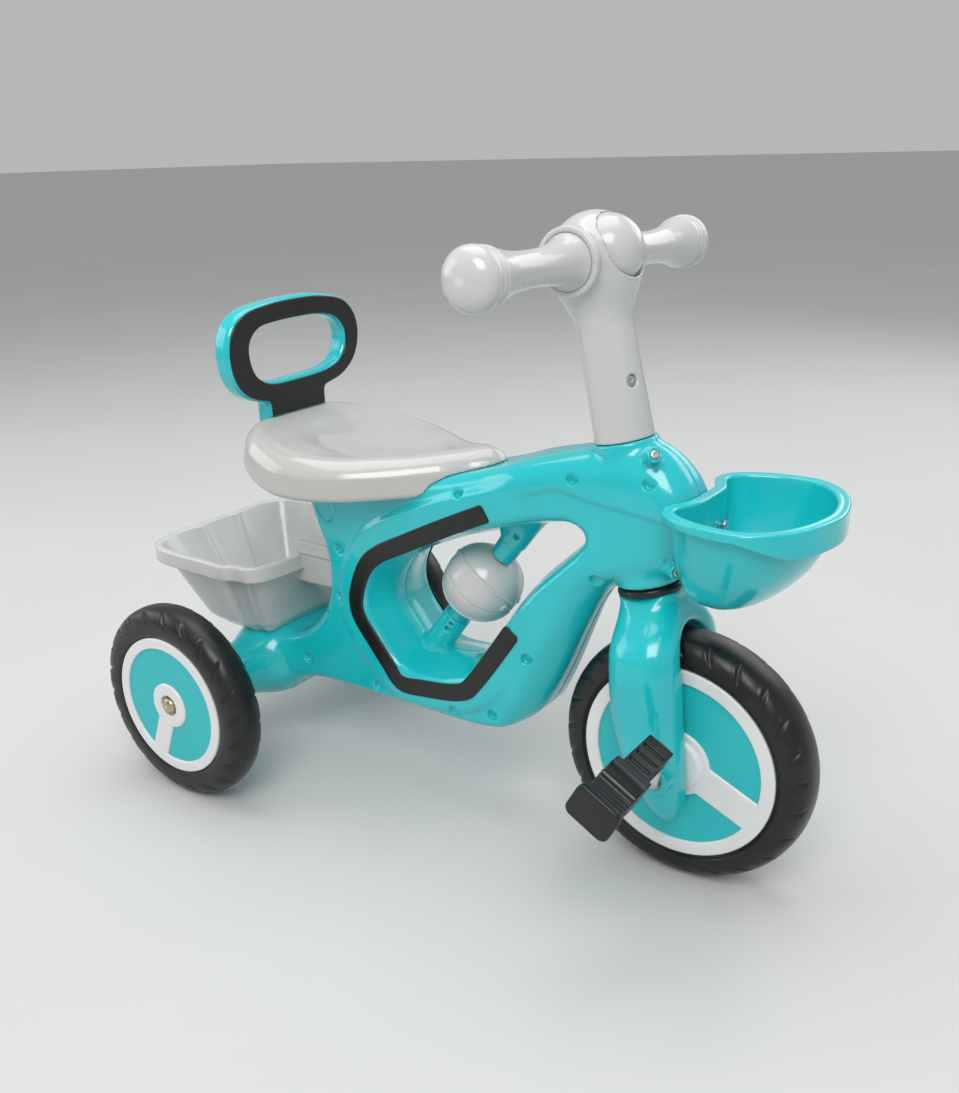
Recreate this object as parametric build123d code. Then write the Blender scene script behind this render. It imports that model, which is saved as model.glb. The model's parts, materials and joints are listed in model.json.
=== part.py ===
from build123d import *
import math
import os

# Children's pedal tricycle. While the pieces are drawn, x is measured forwards from the rear
# axle, y to the rider's left and z up from the floor. save() then moves every piece so that the
# origin is on the floor, under the middle of the whole tricycle.

# ---- driving dimensions, mm ----
WHEELBASE = 478.0
FRONT_WHEEL_R = 115.0
REAR_WHEEL_R = 100.5
FRONT_TYRE_W = 48.0
REAR_TYRE_W = 38.0
REAR_FACE_Y = 176.0          # outer face of each rear wheel
RAKE = 12.5                  # steering axis, degrees back from vertical
AXLE_LEAD = 7.5              # front axle ahead of the steering axis, at axle height
BODY_HALF_W = 47.0           # half width of the frame beside the foot opening
HEAD_HALF_W = 33.0           # half width of the frame at the steering head
WALL = 3.0                   # moulded wall thickness
REAR_REACH = 118.0           # rearmost point, behind the rear axle
FRONT_REACH = 606.3          # foremost point, ahead of the rear axle
MID_LENGTH = (FRONT_REACH - REAR_REACH) / 2

# stations along the steering axis, measured up from the front axle
RING_S = 147.5               # underside of the black headset ring
HEAD_LOW_S = 154.0           # bottom of the frame's head
HEAD_TOP_S = 278.0           # top of the frame's head
BAR_S = 426.0                # handlebar axis
TUBE_R = 12.5                # steering tube
BUSH_R = 16.0                # outside of the headset bushes

AXLE_R = 5.0                 # rear axle and crank rod
RUN = 0.08                   # radial running clearance
GAP = 0.15                   # gap between pieces that only touch
AXLE_HOUSING_Y = 134.0       # end of the frame's rear axle housing

CRANK_R = 44.0
CRANK_LEAN = 13.0            # right crank, degrees forward of straight up, at rest
PEDAL_IN_Y = 82.0
PEDAL_L = 106.0

os.makedirs("parts", exist_ok=True)


def save(name, *shapes):
    """Writes one node, moved into the part's own frame."""
    solids = [s for shape in shapes for s in shape.solids()]
    export_step(Compound(children=[Pos(-MID_LENGTH, 0, 0) * s for s in solids]), f"parts/{name}.step")


def side(y):
    """A sketch plane facing the rider's right, at that y; its own axes are x and z."""
    return Plane.XZ.offset(-y)


def fuse(shapes):
    """One shape out of a list of overlapping ones."""
    whole = shapes[0]
    for shape in shapes[1:]:
        whole = whole + shape
    return whole


def rounded(points, radius):
    """A closed outline through the points, with its corners rounded."""
    outline = make_face(Polyline(*points, close=True))
    return fillet(outline.vertices(), radius)


def disc_y(x, z, y0, y1, r, hole=0.0):
    """A round disc or tube along y, from y0 to y1."""
    low, high = sorted((y0, y1))
    ring = Circle(r) - Circle(hole) if hole else Circle(r)
    return extrude(side(high) * Pos(x, z) * ring, high - low)


def bar_y(depth, height, corner, y0, y1):
    """A bar along y with a rounded rectangular section."""
    low, high = sorted((y0, y1))
    return extrude(side(high) * RectangleRounded(depth, height, corner), high - low)


def turned_y(profile, x, z):
    """A solid turned about the y axis through (x, z), from (radius, y) points."""
    outline = make_face(Polyline(*[(r, y) for r, y in profile], close=True))
    return Pos(x, 0, z) * revolve(outline, Axis.Y)


# the steering frame: origin on the steering axis at axle height, z along the steering axis
STEER = Pos(WHEELBASE - AXLE_LEAD, 0, FRONT_WHEEL_R) * Rot(0, -RAKE, 0)


def turned_s(profile):
    """A solid turned about the steering axis, from (radius, station) points, in the steering frame."""
    return revolve(make_face(Polyline(*[(r, 0, s) for r, s in profile], close=True)), Axis.Z)


def tube_s(r, s0, s1, hole=0.0):
    """A tube about the steering axis, in the steering frame."""
    ring = Circle(r) - Circle(hole) if hole else Circle(r)
    return extrude(Pos(0, 0, s0) * ring, s1 - s0)


# ================= wheels =================
def tyre(x, r, width, y_mid, bore):
    """A foam tyre with a flat crown and round shoulders."""
    half = width / 2
    shoulder = [(bore, half - 1), (r - 12, half), (r - 6, half - 2.5), (r - 1.5, half - 8), (r, half - 14)]
    profile = [(radius, -y) for radius, y in shoulder] + [(radius, y) for radius, y in reversed(shoulder)]
    return turned_y([(radius, y_mid + y) for radius, y in profile], x, r)


def rim(x, axle_z, y_mid, half, ring_r, ring_in, hub_r, bore, spoke_w, spoke_deg, faces):
    """A moulded rim: barrel, middle web, hub and, on each listed face, a ring and one wide spoke."""
    web = 3.0
    parts = [disc_y(x, axle_z, y_mid - half, y_mid + half, ring_r, ring_r - 4),
             disc_y(x, axle_z, y_mid - web / 2, y_mid + web / 2, ring_r - 1)]
    for face in (-1, 1):
        outer = y_mid + face * half
        parts.append(disc_y(x, axle_z, y_mid, outer, hub_r if face in faces else hub_r * 0.7))
        if face in faces:
            inner = y_mid + face * (half - 7)
            parts.append(disc_y(x, axle_z, min(inner, outer), max(inner, outer), ring_r, ring_in))
            spoke = extrude(side(y_mid) * Pos(x, axle_z) * Rot(0, 0, spoke_deg)
                            * Pos((ring_in + 4) / 2, 0) * Rectangle(ring_in + 4, spoke_w), -face * half)
            parts.append(spoke)
        else:
            ribs = 6
            for k in range(ribs):
                rib = extrude(side(y_mid) * Pos(x, axle_z) * Rot(0, 0, k * 360 / ribs)
                              * Pos(ring_r / 2, 0) * Rectangle(ring_r - 4, 3), -face * (half - 5))
                parts.append(rib)
    return fuse(parts) - disc_y(x, axle_z, y_mid - half - 5, y_mid + half + 5, bore)


def inlay(x, axle_z, y_outer, face, ring_in, hub_r, spoke_w, spoke_deg):
    """The coloured disc set into a wheel face, cut away round the hub and the spoke."""
    thick, recess = 2.5, 2.0
    plate = Circle(ring_in - GAP) - Circle(hub_r + GAP)
    plate -= Rot(0, 0, spoke_deg) * Pos(ring_in / 2, 0) * Rectangle(ring_in * 1.2, spoke_w + 2 * GAP)
    return extrude(side(y_outer - face * recess) * Pos(x, axle_z) * plate, face * thick)


REAR_RING_R, REAR_RING_IN, REAR_HUB_R = 71.5, 60.5, 23.5
REAR_INNER_Y = REAR_FACE_Y - REAR_TYRE_W
REAR_MID_Y = REAR_FACE_Y - REAR_TYRE_W / 2
REAR_BORE_R = 9.0
REAR_SPOKE_W, REAR_SPOKE_DEG = 21.0, -112.0
NUT_POCKET_R, NUT_Y = 11.0, REAR_FACE_Y - 4.5
AXLE_END_Y = REAR_FACE_Y
for name, sign in (("right", -1), ("left", 1)):
    y_mid = sign * REAR_MID_Y
    save(f"rear_tyre_{name}", tyre(0, REAR_WHEEL_R, REAR_TYRE_W, y_mid, REAR_RING_R + GAP))
    wheel = rim(0, REAR_WHEEL_R, y_mid, REAR_TYRE_W / 2, REAR_RING_R, REAR_RING_IN, REAR_HUB_R,
                REAR_BORE_R, REAR_SPOKE_W, REAR_SPOKE_DEG, (sign,))
    wheel -= disc_y(0, REAR_WHEEL_R, sign * (NUT_Y - 0.5), sign * (REAR_FACE_Y + 1), NUT_POCKET_R)
    save(f"rear_rim_{name}", wheel)
    save(f"rear_inlay_{name}", inlay(0, REAR_WHEEL_R, sign * REAR_FACE_Y, sign, REAR_RING_IN, REAR_HUB_R,
                                     REAR_SPOKE_W, REAR_SPOKE_DEG))
    save(f"rear_bush_{name}", disc_y(0, REAR_WHEEL_R, sign * (REAR_INNER_Y + 0.1), sign * (NUT_Y - 0.6),
                                     REAR_BORE_R - 0.02, AXLE_R + RUN))

# the fixed rear axle, its spacers against the frame and its domed push nuts outside the hubs
save("rear_axle", disc_y(0, REAR_WHEEL_R, -AXLE_END_Y, AXLE_END_Y, AXLE_R))
nuts, spacers = [], []
for sign in (-1, 1):
    nut = [(AXLE_R + 0.02, NUT_Y), (8, NUT_Y), (8, NUT_Y + 3), (6.8, NUT_Y + 5.2), (4, NUT_Y + 6.8),
           (0, NUT_Y + 7.4), (0, AXLE_END_Y + 0.1), (AXLE_R + 0.02, AXLE_END_Y + 0.1)]
    nuts.append(turned_y([(r, sign * y) for r, y in nut], 0, REAR_WHEEL_R))
    spacers.append(disc_y(0, REAR_WHEEL_R, sign * (AXLE_HOUSING_Y + GAP), sign * (REAR_INNER_Y - 0.4),
                          11, AXLE_R + 0.02))
save("rear_axle_nuts", *nuts)
save("rear_axle_spacers", *spacers)

FRONT_RING_R, FRONT_RING_IN, FRONT_HUB_R = 88.5, 76.0, 27.0
FRONT_SPOKE_W, FRONT_SPOKE_DEG = 30.0, -24.0
FORK_BUSH_R = 8.0
save("front_tyre", tyre(WHEELBASE, FRONT_WHEEL_R, FRONT_TYRE_W, 0, FRONT_RING_R + GAP))
save("front_rim", rim(WHEELBASE, FRONT_WHEEL_R, 0, FRONT_TYRE_W / 2, FRONT_RING_R, FRONT_RING_IN, FRONT_HUB_R,
                      AXLE_R + 0.02, FRONT_SPOKE_W, FRONT_SPOKE_DEG, (-1, 1)))
for name, sign in (("right", -1), ("left", 1)):
    save(f"front_inlay_{name}", inlay(WHEELBASE, FRONT_WHEEL_R, sign * FRONT_TYRE_W / 2, sign, FRONT_RING_IN,
                                      FRONT_HUB_R, FRONT_SPOKE_W, FRONT_SPOKE_DEG))

# ================= crank and pedals =================
AXLE_OUT_Y = 69.5            # where the crank rod turns outside the fork
lean = math.radians(CRANK_LEAN)
pin_x, pin_z = CRANK_R * math.sin(lean), CRANK_R * math.cos(lean)
PEDAL_RIGHT = (WHEELBASE + pin_x, FRONT_WHEEL_R + pin_z)
PEDAL_LEFT = (WHEELBASE - pin_x, FRONT_WHEEL_R - pin_z)
PIN_END_Y = PEDAL_IN_Y + PEDAL_L - 8
rod_points = [(PEDAL_RIGHT[0], -PIN_END_Y, PEDAL_RIGHT[1]), (PEDAL_RIGHT[0], -AXLE_OUT_Y - 2, PEDAL_RIGHT[1]),
              (WHEELBASE, -AXLE_OUT_Y, FRONT_WHEEL_R), (WHEELBASE, AXLE_OUT_Y, FRONT_WHEEL_R),
              (PEDAL_LEFT[0], AXLE_OUT_Y + 2, PEDAL_LEFT[1]), (PEDAL_LEFT[0], PIN_END_Y, PEDAL_LEFT[1])]
rod_path = FilletPolyline(*rod_points, radius=8)
save("crank_axle", sweep(Plane(rod_path @ 0, z_dir=rod_path % 0) * Circle(AXLE_R), path=rod_path))

PEDAL_TILT = 29.0            # pedal tread, degrees nose down
washers = []
for name, sign, (px, pz) in (("right", -1, PEDAL_RIGHT), ("left", 1, PEDAL_LEFT)):
    step = PEDAL_IN_Y + 0.46 * PEDAL_L
    end = PEDAL_IN_Y + PEDAL_L
    pedal = bar_y(24, 22, 5, sign * PEDAL_IN_Y, sign * (step + 1))
    pedal += bar_y(34, 26, 6, sign * step, sign * (end - 4))
    pedal += bar_y(41, 32, 8, sign * (end - 5), sign * end)
    pedal -= disc_y(0, 0, sign * (PEDAL_IN_Y - 1), sign * (PIN_END_Y + 1), AXLE_R + RUN)
    save(f"pedal_{name}", Pos(px, 0, pz) * Rot(0, PEDAL_TILT, 0) * pedal)
    washers.append(disc_y(px, pz, sign * (PEDAL_IN_Y - 1.6), sign * (PEDAL_IN_Y - 0.3), 9, AXLE_R + 0.02))
save("pedal_washers", *washers)

# ================= fork =================
# outer envelope: rounded rectangles (depth along x, width across) at stations, with their centre x
FORK_SECTIONS = [(-46, 2, 12, 84, 5.5), (-38, 1, 22, 106, 10), (-24, 1, 32, 118, 14), (0, -2, 46, 124, 17),
                 (24, -3, 57, 125, 20), (60, -1, 62, 125, 22), (92, 1, 63, 120, 24), (112, 2, 62, 106, 26),
                 (126, 1, 60, 78, 28), (138, 0, 55, 58, 27), (RING_S, 0, 52, 53, 25.5)]
fork = loft([Pos(cx, 0, s) * RectangleRounded(depth, width, corner)
             for s, cx, depth, width, corner in FORK_SECTIONS])
SLOT_HALF = 29.0
slot_top = 118.0
slot = extrude(Plane.YZ * (Pos(0, -60) * Rectangle(2 * SLOT_HALF, 2 * (slot_top - SLOT_HALF + 60))
                           + Pos(0, slot_top - SLOT_HALF) * Circle(SLOT_HALF)), 60, both=True)
fork -= slot
fork -= tube_s(TUBE_R, 128, RING_S + 1)
save("fork", STEER * fork - disc_y(WHEELBASE, FRONT_WHEEL_R, -80, 80, FORK_BUSH_R))

bushes = []
for sign in (-1, 1):
    flanged = [(AXLE_R + RUN, SLOT_HALF - 1.5), (12, SLOT_HALF - 1.5), (12, SLOT_HALF - GAP),
               (FORK_BUSH_R - 0.02, SLOT_HALF - GAP), (FORK_BUSH_R - 0.02, 62), (AXLE_R + RUN, 62)]
    bushes.append(turned_y([(r, sign * y) for r, y in flanged], WHEELBASE, FRONT_WHEEL_R))
save("fork_bushes", *bushes)

# ================= headset and stem =================
save("headset_ring", STEER * tube_s(27.5, RING_S + GAP, HEAD_LOW_S - GAP, TUBE_R + 0.02))
TUBE_TOP_S = 395.0
save("steering_tube", STEER * tube_s(TUBE_R - 0.02, 128.2, TUBE_TOP_S, TUBE_R - 2))
HEADSET_BUSH_H = 17.7
for name, s0 in (("lower", HEAD_LOW_S + 0.3), ("upper", HEAD_TOP_S - 0.3 - HEADSET_BUSH_H)):
    s1 = s0 + HEADSET_BUSH_H
    save(f"headset_bush_{name}", STEER * tube_s(BUSH_R - 0.02, s0, s1, TUBE_R + RUN))

HEAD_R = 36.0
COLLAR_R, COLLAR_Y = 25.0, 42.0
GRIP_R = 16.0
SOCKET_Y = 22.0
DOME_R, DOME_X = 27.0, 15.0
BOLT_S, BOLT_DEG = 326.0, -38.0
STEM_BASE_S = HEAD_TOP_S + 0.6
column = turned_s([(0, STEM_BASE_S), (25, STEM_BASE_S), (22.5, STEM_BASE_S + 50), (22, STEM_BASE_S + 72),
                   (24, STEM_BASE_S + 96), (32, STEM_BASE_S + 125), (0, BAR_S)])
stem = column + Pos(0, 0, BAR_S) * (Sphere(HEAD_R) + disc_y(0, 0, -COLLAR_Y, COLLAR_Y, COLLAR_R))
for sign in (-1, 1):
    stem -= Pos(0, 0, BAR_S) * disc_y(0, 0, sign * SOCKET_Y, sign * (COLLAR_Y + 1), GRIP_R + 0.02)
stem -= tube_s(TUBE_R, STEM_BASE_S - 1, TUBE_TOP_S + 1)
front_face = Pos(DOME_X + 5, 0, BAR_S) * Rot(0, 90, 0)
stem -= front_face * extrude(Circle(DOME_R), 30)
dome_profile = [(0, 5.2), (26.4, 5.2), (25.6, 8), (23.6, 12.5), (20.0, 17.5), (15.0, 22.0), (8.0, 25.4),
                (0, 26.8)]
dome = Pos(DOME_X, 0, BAR_S) * Rot(0, 0, -90) * turned_y(dome_profile, 0, 0)
bolt_line = Pos(0, 0, BOLT_S) * Rot(0, 0, BOLT_DEG) * Rot(0, 90, 0)
stem -= bolt_line * (extrude(Circle(3), 40) + Pos(0, 0, 20) * extrude(Circle(5), 10))
stem_bolt = bolt_line * (Pos(0, 0, 13) * extrude(Circle(2.9), 8) + Pos(0, 0, 20.1) * extrude(Circle(4.8), 2.5))
save("stem", STEER * stem)
save("stem_dome", STEER * dome)
save("stem_bolt", STEER * stem_bolt)

GRIP_END_Y = 166.0
for name, sign in (("right", -1), ("left", 1)):
    bar = [(0, SOCKET_Y + GAP), (GRIP_R, SOCKET_Y + GAP), (GRIP_R, 55), (14.5, 75), (13.6, 95), (14.5, 115),
           (17.5, 135), (21, 148), (22.5, 152), (22.5, 154.5), (21.5, 155), (21.5, 156.5), (23.3, 157),
           (23.3, 160), (22.4, 160.5), (22.4, 162), (23.8, 162.5), (23.8, GRIP_END_Y), (0, GRIP_END_Y)]
    turned = turned_y([(r, sign * y) for r, y in bar], 0, 0)
    save(f"grip_{name}", STEER * Pos(0, 0, BAR_S) * turned)
    knob = [(0, GRIP_END_Y + GAP), (23.8, GRIP_END_Y + GAP), (23.0, 170), (20, 175), (14, 179), (7, 181),
            (0, 181.5)]
    save(f"grip_cap_{name}", STEER * Pos(0, 0, BAR_S) * turned_y([(r, sign * y) for r, y in knob], 0, 0))

# ================= frame =================
OUTER = [(-4, 74), (60, 92), (100, 99), (290, 99), (318, 107), (338, 122), (352, 145), (366, 176), (380, 210),
         (394, 240), (409, 262), (413, 268), (466, 281), (484, 308), (484, 340), (466, 372), (440, 389), (424, 388),
         (398, 380), (377, 375), (333, 364), (288, 350), (240, 337), (190, 329), (80, 325), (66, 316), (82, 288),
         (106, 240), (104, 196), (84, 160), (44, 138), (-4, 127)]
OPENING = [(157, 203), (161, 222), (175, 246), (194, 261), (258, 289), (306, 305), (338, 316), (358, 321),
           (378, 323), (393, 313), (396, 299), (388, 286), (372, 270), (346, 245), (322, 214), (300, 182),
           (284, 161), (272, 150), (258, 144), (234, 141), (208, 143), (190, 150), (172, 167), (159, 187)]
PLAN = [(-40, 1), (-40, -BODY_HALF_W), (300, -BODY_HALF_W), (335, -44), (365, -38), (400, -HEAD_HALF_W),
        (500, -HEAD_HALF_W), (500, 1)]
HOUSING_R = 30.0
COLLAR_OUT_R, COLLAR_S = 27.5, 20.0
SHELL_SCREWS = [(124, 250), (122, 200), (98, 178), (68, 118), (164, 112), (259, 112), (300, 117), (338, 184),
                (400, 268), (270, 330), (388, 362), (458, 350)]
# studs that take accessory screws: foot, direction and length
RIGHT_STUDS = [((443, -25, 376), (0.62, -0.64, 0.45), 12.0), ((462, -22, 287), (0.75, -0.65, 0.1), 12.0)]
LEFT_STUD = ((330, 30, 216), (-0.81, 0, 0.59), 16.0)
STUD_R = 6.0
SEAT_POSTS = [(95, -24), (95, 24), (200, -24), (200, 24)]
BASKET_HOOK_Z, FRONT_HOOK_Z = 216.0, 322.0


def local_half_w(x):
    """Half width of the frame at that x."""
    for (x0, y0), (x1, y1) in zip(PLAN[1:], PLAN[2:]):
        if x0 <= x <= x1:
            return -(y0 + (y1 - y0) * (x - x0) / (x1 - x0))
    return HEAD_HALF_W


def frame_solid(inset):
    """The right half of the frame as a solid, its skin moved inwards by that much."""
    outline = offset(rounded(OUTER, 5), amount=-inset) if inset else rounded(OUTER, 5)
    hole = offset(rounded(OPENING, 5), amount=inset) if inset else rounded(OPENING, 5)
    body = extrude(side(0) * (outline - hole), BODY_HALF_W)
    plan = [(x, min(y + inset, 1)) for x, y in PLAN]
    body &= extrude(make_face(Polyline(*plan, close=True)), 500)
    body += disc_y(0, REAR_WHEEL_R, 0, -AXLE_HOUSING_Y + inset, HOUSING_R - inset)
    collars = tube_s(COLLAR_OUT_R - inset, HEAD_LOW_S + inset, HEAD_LOW_S + COLLAR_S)
    collars += tube_s(COLLAR_OUT_R - inset, HEAD_TOP_S - COLLAR_S, HEAD_TOP_S - inset)
    right_side = Pos(250, -100, 250) * Box(700, 200, 600)
    return body + ((STEER * collars) & right_side)


def frame_shell():
    """The right moulding of the frame: skin, steering tube, screw bosses and studs."""
    solid = frame_solid(0)
    shell = solid - frame_solid(WALL)
    inside = [STEER * tube_s(BUSH_R + 4, HEAD_LOW_S, HEAD_TOP_S),
              disc_y(0, REAR_WHEEL_R, -AXLE_HOUSING_Y, 0, AXLE_R + 4)]
    for x, z in SHELL_SCREWS:
        inside.append(disc_y(x, z, 0, -local_half_w(x), 7))
    shell += fuse(inside) & solid
    for x, z in SHELL_SCREWS:
        half_w = local_half_w(x)
        shell -= disc_y(x, z, -(half_w - 6), -half_w - 1, 5)
        shell -= disc_y(x, z, 1, -half_w, 1.6)
    shell -= STEER * tube_s(BUSH_R, HEAD_LOW_S - 1, HEAD_TOP_S + 1)
    shell -= disc_y(0, REAR_WHEEL_R, 1, -AXLE_HOUSING_Y - 1, AXLE_R + 0.02)
    for x, y in SEAT_POSTS:
        shell -= Pos(x, y, 300) * extrude(Circle(2.1), 60)
    for y in (-15, 15):
        shell -= Pos(90, y, BASKET_HOOK_Z) * Rot(0, 90, 0) * extrude(Circle(2.1), 25)
        shell -= Pos(475, y, FRONT_HOOK_Z) * Rot(0, 90, 0) * extrude(Circle(2.1), 25)
    return shell & (Pos(250, -100 - GAP / 2, 250) * Box(700, 200, 600))


half_shell = frame_shell()
right_shell, left_shell = half_shell, mirror(half_shell, about=Plane.XZ)
stud_screws = []
for place, way, length in RIGHT_STUDS + [LEFT_STUD]:
    at_stud = Location(Plane(origin=place, z_dir=way))
    stud = at_stud * extrude(Circle(STUD_R), length)
    clear = at_stud * extrude(Pos(0, 0, length) * Circle(STUD_R + 1), 12)
    if way[1] < 0:
        right_shell = right_shell + (stud - frame_solid(WALL)) - clear
    else:
        left_shell = left_shell + (stud - mirror(frame_solid(WALL), about=Plane.XZ)) - clear
    stud_screws.append(at_stud * extrude(Pos(0, 0, length + 0.1) * Circle(3.5), 2.5))
save("frame_right_shell", right_shell)
save("frame_left_shell", left_shell)
save("accessory_screws", *stud_screws)

screws = []
for x, z in SHELL_SCREWS:
    seat_y = local_half_w(x) - 6
    screws.append(disc_y(x, z, seat_y + 0.05, seat_y + 2.5, 3.6) + disc_y(x, z, seat_y + 1, -16, 1.55))
save("frame_screws", *screws)

# ================= black trim round the foot opening =================
TRIM_W, TRIM_T, TRIM_MARGIN = 15.0, 1.4, 4.5
band = (offset(rounded(OPENING, 5), amount=TRIM_W + TRIM_MARGIN)
        - offset(rounded(OPENING, 5), amount=TRIM_MARGIN))
c_shape = [(100, 100), (332, 100), (332, 215), (240, 215), (240, 290), (304, 290), (298, 340), (100, 340)]
band &= make_face(Polyline(*c_shape, close=True))
strip = extrude(side(-BODY_HALF_W - 0.05) * band, TRIM_T)
save("trim_right", strip)
save("trim_left", mirror(strip, about=Plane.XZ))

# ================= spinning ball and its posts =================
BALL = (263, 0, 229)
BALL_R = 38.0
LEAN_BALL = 36.8             # spindle, degrees forward of vertical
SPINDLE_R = 3.0
on_spindle = Pos(*BALL) * Rot(0, LEAN_BALL, 0)
ball = Sphere(BALL_R) - Sphere(BALL_R - 2.5) + extrude(Pos(0, 0, -BALL_R + 1) * Circle(7), 2 * BALL_R - 2)
ball -= extrude(Pos(0, 0, -50) * Circle(SPINDLE_R + RUN), 100)
for name, sign in (("lower", -1), ("upper", 1)):
    half_space = Pos(0, 0, sign * (50 + 0.05)) * Box(100, 100, 100)
    save(f"ball_half_{name}", on_spindle * (ball & half_space))
opening_space = extrude(side(40) * offset(rounded(OPENING, 5), amount=-0.2), 80)
post_steps = {"upper": ((39.5, 62, 12.0), (62, 120, 13.5)),
              "lower": ((-39.5, -50, 11.0), (-50, -120, 14.0))}
for name, steps in post_steps.items():
    post = fuse([extrude(Pos(0, 0, s0) * Circle(r), s1 - s0) for s0, s1, r in steps])
    sign = 1 if name == "upper" else -1
    post -= extrude(Pos(0, 0, sign * 30) * Circle(SPINDLE_R + 0.02), sign * 32)
    save(f"ball_post_{name}", (on_spindle * post) & opening_space)
save("ball_spindle", on_spindle * extrude(Pos(0, 0, -61.5) * Circle(SPINDLE_R), 123))

# ================= seat =================
SEAT_PLAN = [(14, 0), (20, -48), (52, -86), (105, -102), (158, -93), (205, -66), (250, -36), (282, -17),
             (292, 0), (282, 17), (250, 36), (205, 66), (158, 93), (105, 102), (52, 86), (20, 48)]
SEAT_TOP = [(0, 374), (20, 374), (45, 364), (90, 353), (140, 348), (200, 350), (250, 357), (292, 362),
            (310, 364)]
SEAT_LOW = [(310, 358), (288, 352.5), (240, 340), (195, 333), (150, 317), (100, 315), (60, 320), (0, 334)]
SEAT_WALL = 3.5


def seat_block(inset):
    """The seat's outer form, or the space inside its shell."""
    outline = rounded(SEAT_PLAN, 8)
    plan = extrude(offset(outline, amount=-inset) if inset else outline, 500, dir=(0, 0, 1))
    low = [(x, z - 60) for x, z in SEAT_LOW] if inset else SEAT_LOW
    profile = make_face(Polyline(*[(x, z - inset) for x, z in SEAT_TOP], *low, close=True))
    return plan & extrude(side(150) * profile, 300)


HANDLE_X, HANDLE_T = 18.0, 22.0
NECK_HALF = 46.0
socket = Pos(HANDLE_X + HANDLE_T / 2, 0, 0)
seat = seat_block(0) - seat_block(SEAT_WALL)
socket_wall = extrude(Pos(0, 0, 330) * RectangleRounded(HANDLE_T + 6, 2 * NECK_HALF + 6, 3), 60)
seat += (socket * socket_wall) & seat_block(0)
for x, y in SEAT_POSTS:
    seat += (Pos(x, y, 331.5) * extrude(Circle(7), 60)) & seat_block(0)
    seat -= Pos(x, y, 320) * extrude(Circle(1.9), 22)
seat -= socket * extrude(Pos(0, 0, 337) * Rectangle(HANDLE_T + 2 * GAP, 2 * NECK_HALF + 2 * GAP), 100)
for y in (-25, 25):
    seat -= socket * Pos(0, y, 320) * extrude(Circle(2.1), 30)
save("seat", seat)
seat_screw = extrude(Pos(0, 0, 319.5) * Circle(4), 2.5) + extrude(Pos(0, 0, 321) * Circle(1.85), 20)
save("seat_screws", *[Pos(x, y, 0) * seat_screw for x, y in SEAT_POSTS])

# ================= push handle =================
LOOP_OUT = [(-78, 484), (82, 484), (97, 440), (84, 398), (50, 385), (-44, 385), (-76, 398), (-90, 440)]
LOOP_IN = [(-60, 465), (63, 465), (75, 438), (64, 410), (-56, 408), (-69, 438)]


def loop_sketch(grow):
    """The handle loop with its opening and neck, as a face in y and z."""
    outline = rounded([(y, z) for y, z in LOOP_OUT], 24)
    neck = Pos(0, 365) * Rectangle(2 * NECK_HALF, 70)
    outer = outline + neck
    inner = rounded(LOOP_IN, 20)
    return offset(outer, amount=grow) - offset(inner, amount=-grow) if grow else outer - inner


def facing_front(sketch, x0, x1):
    """A sketch in y and z, extruded from x0 to x1."""
    return Pos(x0, 0, 0) * extrude(Plane.YZ * sketch, x1 - x0)


handle = facing_front(loop_sketch(0), HANDLE_X, HANDLE_X + HANDLE_T)
handle &= Pos(0, 0, 337 + GAP + 100) * Box(200, 400, 200)
for y in (-25, 25):
    handle -= socket * Pos(0, y, 330) * extrude(Circle(1.9), 24)
save("push_handle", handle)
inlay_face = facing_front(loop_sketch(-4), HANDLE_X + HANDLE_T + 0.05, HANDLE_X + HANDLE_T + 1.6)
save("push_handle_face", inlay_face & Pos(0, 0, 372 + 100) * Box(200, 400, 200))
handle_screw = extrude(Pos(0, 0, 327.4) * Circle(4), 2.5) + extrude(Pos(0, 0, 329) * Circle(1.85), 22)
save("push_handle_screws", *[socket * Pos(0, y, 0) * handle_screw for y in (-25, 25)])

# ================= baskets =================
BASKET_WALL = 2.6


def tub(low_face, low_z, top_face, top_z, inset):
    """A tapered tub between two outlines, or the space inside it."""
    if not inset:
        return loft([Pos(0, 0, low_z) * low_face, Pos(0, 0, top_z) * top_face])
    return loft([Pos(0, 0, low_z + inset) * offset(low_face, amount=-inset),
                 Pos(0, 0, top_z + 1) * offset(top_face, amount=-inset)])


REAR_TOP_Z, REAR_LOW_Z = 229.0, 133.0
rear_top = Pos(-28, 0) * RectangleRounded(170, 198, 34)
rear_low = Pos(-26, 0) * RectangleRounded(66, 112, 22)
neck_top_z = 243.0
basket = tub(rear_low, REAR_LOW_Z, rear_top, REAR_TOP_Z, 0)
basket += extrude(Pos(0, 0, REAR_TOP_Z - 15) * (offset(rear_top, amount=4.5)), 15)
basket += Pos(70, 0, 195) * extrude(RectangleRounded(62, 66, 4), neck_top_z - 195)
basket -= tub(rear_low, REAR_LOW_Z, rear_top, REAR_TOP_Z, BASKET_WALL)
skirt = offset(rear_top, amount=2.0) - offset(rear_top, amount=-3.0)
basket -= extrude(Pos(0, 0, REAR_TOP_Z - 16) * skirt, 13) - Pos(62, 0, 230) * Box(70, 66, 80)
neck_space = RectangleRounded(78 - 2 * BASKET_WALL, 66 - 2 * BASKET_WALL, 3)
basket -= Pos(62, 0, 195 + BASKET_WALL) * extrude(neck_space, 60)
for y in (-15, 15):
    basket -= Pos(90, y, BASKET_HOOK_Z) * Rot(0, 90, 0) * extrude(Circle(2.1), 25)
save("rear_basket", basket)
hook_screw = extrude(Circle(4), 2.5) + extrude(Circle(2.05), 16)
save("rear_basket_screws", *[Pos(95.8, y, BASKET_HOOK_Z) * Rot(0, 90, 0) * hook_screw for y in (-15, 15)])

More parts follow.
